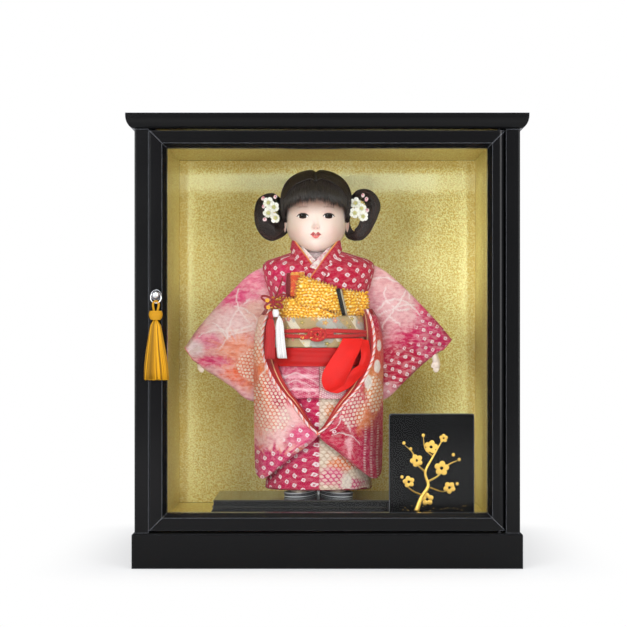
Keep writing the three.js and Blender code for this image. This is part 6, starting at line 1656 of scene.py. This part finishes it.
def dress_blossoms():
    rng = random.Random(11)
    sprays = {
        -1: ([(-54.6, 319.6, 4.9), (-48.6, 314.8, 4.7), (-54.6, 308.2, 4.9), (-46.6, 303.4, 4.6)],
             [(-60.6, 324.6), (-60.4, 315.6), (-47.0, 326.2), (-58.6, 301.6)]),
        1: ([(40.6, 319.0, 4.9), (39.6, 308.4, 4.8), (48.4, 304.8, 4.6), (47.0, 313.6, 4.4)],
            [(48.2, 328.0), (52.4, 323.6), (53.0, 311.4)]),
    }
    green = rgb(120, 130, 70)
    for side, name in SIDES.items():
        pile = Pile()
        flowers, buds = sprays[side]
        root = (side * 42 + NECK_X, -4.8, 309)
        for k, (x, z, size) in enumerate(flowers):
            flower(pile, (x, -9.4 - 0.5 * (k % 2), z), size * 1.22,
                   (rng.uniform(-0.45, 0.45), rng.uniform(-0.5, 0.5)), rng.uniform(0, 1.2))
            pile.tube([(x, -8.4, z), (x - side * 1.2, -6.6, z - 1), root], 0.35, 6, dye=green)
        for x, z in buds:
            for k in range(3):
                a = rng.uniform(0, TAU)
                pile.ball((x + 0.5 * math.cos(a), -8.6 - 0.3 * k, z + 0.5 * math.sin(a)),
                          (1.9, 1.6, 2.1), 14, dye=rgb(252, 226, 230) if k else rgb(240, 170, 186))
            pile.ball((x, -10.2, z + 0.4), (1.0, 0.8, 1.1), 10, dye=rgb(236, 130, 160))
            pile.tube([(x, -8.2, z), root], 0.3, 6, dye=green)
        pile.object(f"blossom_petals_{name}", PETAL, "head", f"blossoms_{name}",
                    slot="white_petal")


def dress_arm(side):
    """One arm and hand, its fingers close together, softened into one smooth skin."""
    name = SIDES[side]
    pile = Pile()
    wrist = np.array([side * 129.3, 3.25, 146.5])
    path = [[side * x * 134, 3.25, z * 258] for x, z in
            ((0.3, 0.91), (0.5, 0.82), (0.76, 0.69), (0.93, 0.61), (0.965, 0.568))]
    pile.tube(line_through(path, 60), np.linspace(5, 3.5, 60), 24)
    palm = [wrist + (0, 0, 3), wrist + (side * 0.2, 0, 0), wrist + (side * 0.4, -0.2, -4),
            wrist + (side * 0.2, -0.4, -7)]
    pile.tube(palm, np.array([3.4, 3.7, 4.3, 3.6]), 24, squash=0.72)

    def finger(root, bend, tip, thick_root, thick_tip):
        path = line_through([root, (root + tip) / 2 + bend, tip], 10)
        pile.tube(path, np.linspace(thick_root, thick_tip, 10), 14)

    for k, (u, reach) in enumerate(((-2.7, 4.4), (-0.9, 6.0), (0.9, 6.4), (2.7, 5.2))):
        root = wrist + (u * 1.0 + side * 0.2, -0.4, -6)
        tip = root + (-u * 0.18 - side * 0.9, -0.7 - 0.2 * k, -reach)
        finger(root, (side * 0.15, -0.5, 0), tip, 1.25, 0.85)
    finger(wrist + (-side * 2.6, -0.6, -1.5), (-side * 0.6, -0.3, 0.3),
           wrist + (-side * 4.9, -1.2, -7.2), 1.6, 0.95)
    made = pile.object(f"arm_{name}_skin", HAND_SKIN, "case", f"arm_{name}", slot="shell_white")
    merge = made.modifiers.new("skin", "REMESH")
    merge.mode = "VOXEL"
    merge.voxel_size = 0.00045
    merge.use_smooth_shade = True
    soften = made.modifiers.new("soften", "SMOOTH")
    soften.factor = 0.5
    soften.iterations = 5


def dress_sandals():
    black, edge, groove = rgb(78, 78, 84), rgb(246, 248, 252), rgb(14, 14, 16)
    # Up the sole's side: the share of its outline, the height and the colour. The sole is one black
    # lacquer painted in lit and shaded tones: mid grey sides for its sheen, near-white rims as
    # painted highlights, a near-black groove as painted shade.
    profile = [(0.0, 0.0, black), (0.93, 0.0, black), (0.975, 0.35, edge), (0.985, 1.0, edge),
               (0.98, 1.25, black), (0.975, 1.9, black), (0.955, 2.05, groove),
               (0.955, 2.4, groove), (0.985, 2.55, edge), (0.99, 2.8, black), (1.0, 3.5, black),
               (0.995, 4.1, black), (0.985, 4.35, edge), (0.93, 5.05, edge), (0.9, 5.15, black),
               (0.0, 5.2, rgb(34, 33, 36))]
    a = turn_of(120)
    x, y = 16.5 * np.cos(a) * (1 - 0.1 * np.cos(2 * a)), 30 * np.sin(a)
    for side, name in SIDES.items():
        c, s = math.cos(side * 0.055 * TAU), math.sin(side * 0.055 * TAU)
        ring = join(side * 21 * 0.93 + x * c - y * s, x * s + y * c)
        middle = ring.mean(0)
        pile = Pile()
        rows = [np.column_stack([middle + (ring - middle) * share, np.full(120, height)])
                for share, height, _ in profile]
        pile.grid(np.array(rows), True, dye=np.array([[tint] * 120 for *_, tint in profile]))
        for k in (-1, 1):
            across, along, up = line_through([
                [0.0, -19, 5.2], [k * 5.0, -14, 10.5], [k * 12.5, -2, 12], [k * 15.0, 8, 5.2]],
                30).T
            pile.tube(join(side * 19.5 + across * c - along * s, across * s + along * c, up), 1.5,
                      10, dye=rgb(150, 20, 30))
        pile.object(f"sandal_{name}_lacquer", LACQUER_PAINT, "case", f"sandal_{name}",
                    slot="black_lacquer")


# Door catch and name plate

CATCH = (-171.0, 273.5)  # the knob's axis, in millimetres of the part's frame


def dress_catch():
    """The chrome rosette, knob and ring on the door."""
    cx, cz = CATCH
    a = turn_of(64)

    def turned(profile, ribs, height, beyond):
        """A turned form: rows of radius and depth, with ribs where the radius is beyond."""
        rows = [join(cx + r * (1 + (height * np.cos(a * ribs) if r > beyond else 0)) * np.cos(a),
                     y, cz + r * np.sin(a)) for r, y in profile]
        return Pile().grid(np.array(rows), True)

    def put(pile, name, material, body, *replaced, slot="chrome"):
        pile.object(name, material, body, *replaced, slot=slot, origin=(0, 0, 0))

    rosette = [(0.0, -136.9), (5.2, -136.9), (5.6, -137.2), (5.6, -137.7), (5.2, -138.2),
               (4.6, -138.5), (4.2, -138.4), (3.6, -138.6), (2.0, -138.6)]
    # The rosette's chrome is darkened near black as painted shade.
    put(turned(rosette, 16, 0.03, 5), "rosette_chrome", SHADED_CHROME, "door", "catch_rosette")
    knob = [(0.0, -138.3), (1.6, -138.3), (1.6, -142.0), (2.2, -142.3), (3.1, -142.7),
            (3.4, -143.6), (3.4, -145.4), (3.1, -146.5), (2.4, -147.1), (0.0, -147.25)]
    put(turned(knob, 12, 0.05, 3), "knob_chrome", CHROME, "catch", "turn_knob")
    groove = Pile().tube([(cx, -147.3, cz - 2.2), (cx, -147.3, cz + 2.2)], 0.35, 6)
    put(groove, "knob_slot", STEEL, "catch", slot="steel")
    ring = join(cx + 5.2 * np.cos(a), -140.6, cz + 1.6 + 0.7 - 5.2 + 5.2 * np.sin(a))
    put(Pile().tube(ring, 0.7, 14, True), "ring_wire", CHROME, "tassel", "catch_ring")
    rim = join(cx + 5.0 * np.cos(a), -138.3, cz + 5.0 * np.sin(a))
    put(Pile().tube(rim, 0.32, 10, True), "rosette_rim", CHROME, "door")


def dress_platform():
    """The beads that run along the platform's moulded edge."""
    low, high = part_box("platform")
    x0, y0, z0 = (v / MM for v in low)
    x1, y1, z1 = (v / MM for v in high)
    pile = Pile()
    for share, inset, radius in ((0.95, 5.3, 1.0), (0.66, 4.0, 0.7), (0.27, 0.8, 0.9)):
        z = mix(z0, z1, share)
        corners = [(x0 + inset, y0 + inset), (x1 - inset, y0 + inset), (x1 - inset, y1 - inset),
                   (x0 + inset, y1 - inset)]
        path = []
        for (ax, ay), (bx, by) in zip(corners, corners[1:] + corners[:1]):
            for step in (0.004, 0.012, 0.25, 0.5, 0.75, 0.988, 0.996):
                path.append([mix(ax, bx, step), mix(ay, by, step), z])
        pile.tube(path, radius, 12, True)
    pile.object("platform_beads", STAND, "case", slot="black_lacquer", origin=(0, 0, 0))


def dress_tassel():
    """The gold tassel that hangs from the ring: its yarns, wound neck and cord loop."""
    cx = CATCH[0]
    gold = rgb(198, 144, 16)
    top, y = 256.6, -142.1
    pile = Pile()
    tuft(pile, (cx - 0.2, y, top - 6), 61.4, 5.2, 12.8, 270, gold, 21, 0.36, 0.9, 0.9, 0.62, 0.6)
    a = turn_of(40)
    for k in range(14):
        lift = mix(0.6, -7.6, k / 13)
        wide = 6.4 * math.sqrt(max(0.2, 1 - ((lift + 2.6) / 5.4) ** 2 * 0.6))
        ring = join(cx + wide * np.cos(a), y + wide * 0.66 * np.sin(a), top + lift)
        pile.tube(ring, 0.52, 6, True, dye=shaded(gold, 0.86 + 0.2 * (k % 2)))
    pile.ball((cx, y, top - 3.2), (6.0, 4.0, 4.4), 24, dye=gold)
    pile.object("tassel_yarns", GOLD_YARN, "tassel", "tassel", slot="gold_yarn",
                origin=(0, 0, 0))
    cords = Pile()
    t = np.linspace(0, 1, 120)
    loop = line_through([[cx - 1.2, y, 255.6], [cx - 2.3, -141.4, 260], [cx - 2.7, -140.9, 264.8],
                         [cx, -140.6, 267.6], [cx + 2.7, -140.3, 264.8], [cx + 2.3, -140.9, 260],
                         [cx + 1.2, y, 255.6]], 120)
    for start in (0.0, 0.5):
        a = TAU * (t * 17 + start)
        cords.tube(loop + join(0.42 * np.cos(a), 0.42 * np.sin(a), 0), 0.85, 8,
                   dye=shaded(gold, 0.95))
    cords.object("tassel_loop", GOLD_YARN, "tassel", "tassel_cord", slot="gold_yarn",
                 origin=(0, 0, 0))


def dress_plate():
    """A gold plum branch on the black plate, in low relief, and a fine grey line round its edge as
    a painted highlight.
    """
    face = -89.0
    pile = Pile()

    def dots(cx, cz, reach, spin, lift, radii, sides):
        for k in range(5):
            a = spin + k * TAU / 5
            pile.ball((cx + reach * math.cos(a), face - lift, cz + reach * math.sin(a)), radii,
                      sides)

    for points, widths in (
            ([(92, 52), (97, 66), (104, 78), (101, 92), (109, 108), (118, 124)],
             [2.6, 2.2, 1.9, 1.5, 1.1, 0.5]),
            ([(103, 82), (114, 88), (124, 99), (134, 104)], [1.3, 1.0, 0.8, 0.4]),
            ([(101, 92), (92, 101), (88, 112), (80, 120)], [1.2, 0.9, 0.7, 0.3]),
            ([(98, 68), (86, 74), (78, 84)], [1.2, 0.8, 0.4]),
            ([(109, 108), (101, 116), (99, 128)], [0.9, 0.7, 0.3]),
            ([(106, 76), (120, 72), (132, 78)], [1.0, 0.7, 0.3])):
        stem = line_through([[x, face, z] for x, z in points], 60)
        wide = line_through([[w] for w in widths], 60)[:, 0]
        ragged = 1 + 0.12 * noise2(np.linspace(0, 9, 60), 0, points[0][0])
        pile.tube(stem, np.maximum(wide * ragged, 0.12), 10, squash=0.3)
    for cx, cz, size, spin in ((118, 96, 7.5, 0.2), (92, 104, 6.5, 0.7), (107, 118, 6.8, 0.1),
                               (84, 82, 6.0, 0.5), (126, 76, 6.2, 0.9), (120, 127, 4.4, 0.3),
                               (103, 64, 6.6, 0.4)):
        dots(cx, cz, 0.62 * size, spin, 0, (size * 0.42, 0.3, size * 0.42), 14)
        dots(cx, cz, 0.26 * size, spin + TAU / 10, 0.3, (0.32, 0.2, 0.32), 8)
    for cx, cz in ((136, 105), (79, 122), (99, 130), (134, 80), (77, 87), (130, 110), (86, 116)):
        pile.ball((cx, face, cz), (1.7, 0.3, 1.9), 12)
    for k in range(26):
        rng = random.Random(k)
        pile.ball((rng.uniform(70, 146), face, rng.uniform(42, 58)), (0.5, 0.15, 0.35), 8)
    pile.object("plate_plum_branch", GOLD_LEAF, "case", slot="gold_paper", origin=(0, 0, 0))
    # A grey line round the plate, painted as the highlight on its edge.
    edge = Pile()
    x0, x1, z0, z1, r = 63.9, 151.3, 36.6, 152.0, 2.0
    corners = [(x0 + r, z0), (x1 - r, z0), (x1, z0 + r), (x1, z1 - r), (x1 - r, z1), (x0 + r, z1),
               (x0, z1 - r), (x0, z0 + r)]
    t = np.linspace(0, 1, 9)
    for (ax, az), (bx, bz) in zip(corners, corners[1:] + corners[:1]):
        edge.tube(join(mix(ax, bx, t), face + 0.35, mix(az, bz, t)), 0.22, 6,
                  dye=rgb(120, 122, 128))
    edge.object("plate_edge_highlight", LACQUER_PAINT, "case", slot="black_lacquer", origin=(0, 0, 0))


# Studio


def softbox(name, place, aim, width, height, power):
    lamp = bpy.data.lights.new(name, "AREA")
    lamp.shape = "RECTANGLE"
    lamp.size = width
    lamp.size_y = height
    lamp.energy = power
    made = bpy.data.objects.new(name, lamp)
    made.location = place
    made.rotation_euler = (Vector(aim) - Vector(place)).to_track_quat("-Z", "Y").to_euler()
    bpy.context.scene.collection.objects.link(made)


def studio():
    """The white surroundings, five lamps, the floor that takes shadows, and the camera."""
    world = bpy.data.worlds.new("studio")
    world.use_nodes = True
    nodes, links = world.node_tree.nodes, world.node_tree.links
    nodes.clear()
    out = nodes.new("ShaderNodeOutputWorld")
    seen = nodes.new("ShaderNodeBackground")
    seen.inputs[0].default_value = (1, 1, 1, 1)
    lit = nodes.new("ShaderNodeBackground")
    lit.inputs[0].default_value = (0.93, 0.95, 1, 1)
    lit.inputs[1].default_value = 0.56
    mixed = nodes.new("ShaderNodeMixShader")
    path = nodes.new("ShaderNodeLightPath")
    links.new(path.outputs["Is Camera Ray"], mixed.inputs[0])
    links.new(lit.outputs[0], mixed.inputs[1])
    links.new(seen.outputs[0], mixed.inputs[2])
    links.new(mixed.outputs[0], out.inputs[0])
    scene = bpy.context.scene
    scene.world = world

    softbox("key", (-0.8, -1.55, 0.46), (0, 0, 0.24), 0.6, 0.8, 12)
    softbox("fill", (0.85, -1.55, 0.42), (0, 0, 0.22), 0.6, 0.8, 9.5)
    softbox("front", (-0.1, -1.7, 1.15), (0, 0.05, 0.25), 1.0, 0.5, 7)
    softbox("top", (0, -0.35, 1.6), (0, 0, 0.2), 1.2, 0.8, 6)
    softbox("back", (0.6, 1.7, 2.3), (0, 0, 0.2), 1.4, 1.0, 9)

    plane = bpy.data.meshes.new("floor")
    reach, sunk = 3.0, -0.0002
    corners = [(-reach, -reach, sunk), (reach, -reach, sunk), (reach, reach, sunk),
               (-reach, reach, sunk)]
    plane.from_pydata(corners, [], [(0, 1, 2, 3)])
    floor = bpy.data.objects.new("floor", plane)
    scene.collection.objects.link(floor)
    s = Shader("floor")
    place = s.place()
    tint = s.ramp(s.noise(place, 3, 2), (0, (0.9, 0.9, 0.9)), (1, (0.93, 0.93, 0.93)))
    diffuse = s.node("ShaderNodeBsdfDiffuse", {"Color": tint})
    white = s.node("ShaderNodeEmission", {"Color": (1, 1, 1), "Strength": 1.0})
    x, y, _ = s.parts(place)
    x, y = (s.math("MAXIMUM", abs(v) - half, 0.0) for v, half in ((x, 0.19), (y, 0.14)))
    far = s.math("SQRT", x * x + y * y)
    camera_ray = s.node("ShaderNodeLightPath", output="Is Camera Ray")
    share = (s.step(far, 0.0, 0.12) * 0.5 + 0.5) * camera_ray
    plane.materials.append(
        s.show(s.node("ShaderNodeMixShader", {0: share, 1: diffuse, 2: white})))

    lens = bpy.data.cameras.new("camera")
    lens.lens = 87.85
    lens.sensor_width = 36
    lens.shift_x = -0.0220
    lens.shift_y = 0.0319
    camera = bpy.data.objects.new("camera", lens)
    camera.location = (0, -1.6667, 0.235)
    camera.rotation_euler = (math.pi / 2, 0, 0)
    scene.collection.objects.link(camera)
    scene.camera = camera
    scene.view_settings.view_transform = "Standard"


studio()

CRIMSON_CLOTH = fabric("crimson_crepe")
PINK_CLOTH = fabric("pink_crepe", 0.7, 0.2, 0.24)
CORAL_CLOTH = fabric("coral_crepe", 0.68, 0.15, 0.14)
RED_CLOTH = painted("red_lining", 0.5, 1400, 0.0002, 0.08, Sheen_Weight=0.2)
THREAD = painted("thread", 0.55, 2200, 0.00025, 0.12, Sheen_Weight=0.25)
LACQUER_PAINT = painted("painted_lacquer", 0.3, 700, 0.00005, 0.03)
BROCADE_PLAIN = painted("pouch_weave", 0.5, 1800, 0.0004, 0.16, Sheen_Weight=0.2)
PETAL = painted("petal_silk", 0.6, 1200, 0.0001, 0.04, Sheen_Weight=0.2)
GOLD_YARN = painted("gold_yarn_thread", 0.5, 2600, 0.0002, 0.16, Specular_Ior_Level=0.25)
EYE_GLASS = painted("eye_glass", 0.3, 500, 0.00001, 0.0, Specular_Ior_Level=0.2)
SKIN = skin()
# Chrome darkened near black as painted shade, for the door's rosette.
SHADED_CHROME = metal("shade_darkened_chrome", (0.09, 0.09, 0.1, 1), 0.15)
HAND_SKIN = metal("hand_shell_white", (*rgb(250, 232, 222), 1), 0.4, metallic=0.0)
GOLD_LEAF = metal("gold_leaf", (*rgb(226, 184, 92), 1), 0.3, 0.0001)
HAIR = hair_shader()
OBI_SILK = brocade()
SCARLET_SILK = silk("scarlet_satin", rgb(190, 14, 13), rgb(152, 10, 10))
RIBBON_SILK = silk("ribbon_satin", rgb(232, 22, 14), rgb(190, 12, 11))
SHIBORI = shibori()

dress_bodice()
dress_skirt()
for side in (-1, 1):
    dress_sleeve(side)
    dress_drop(side)
    dress_arm(side)
dress_collars()
dress_obi()
dress_obijime()
dress_sash()
dress_obiage()
dress_bow()
dress_pouch()
dress_fan()
dress_pouch_tassels()
dress_head()
dress_hair()
dress_blossoms()
dress_sandals()
dress_catch()
dress_tassel()
dress_plate()
dress_platform()
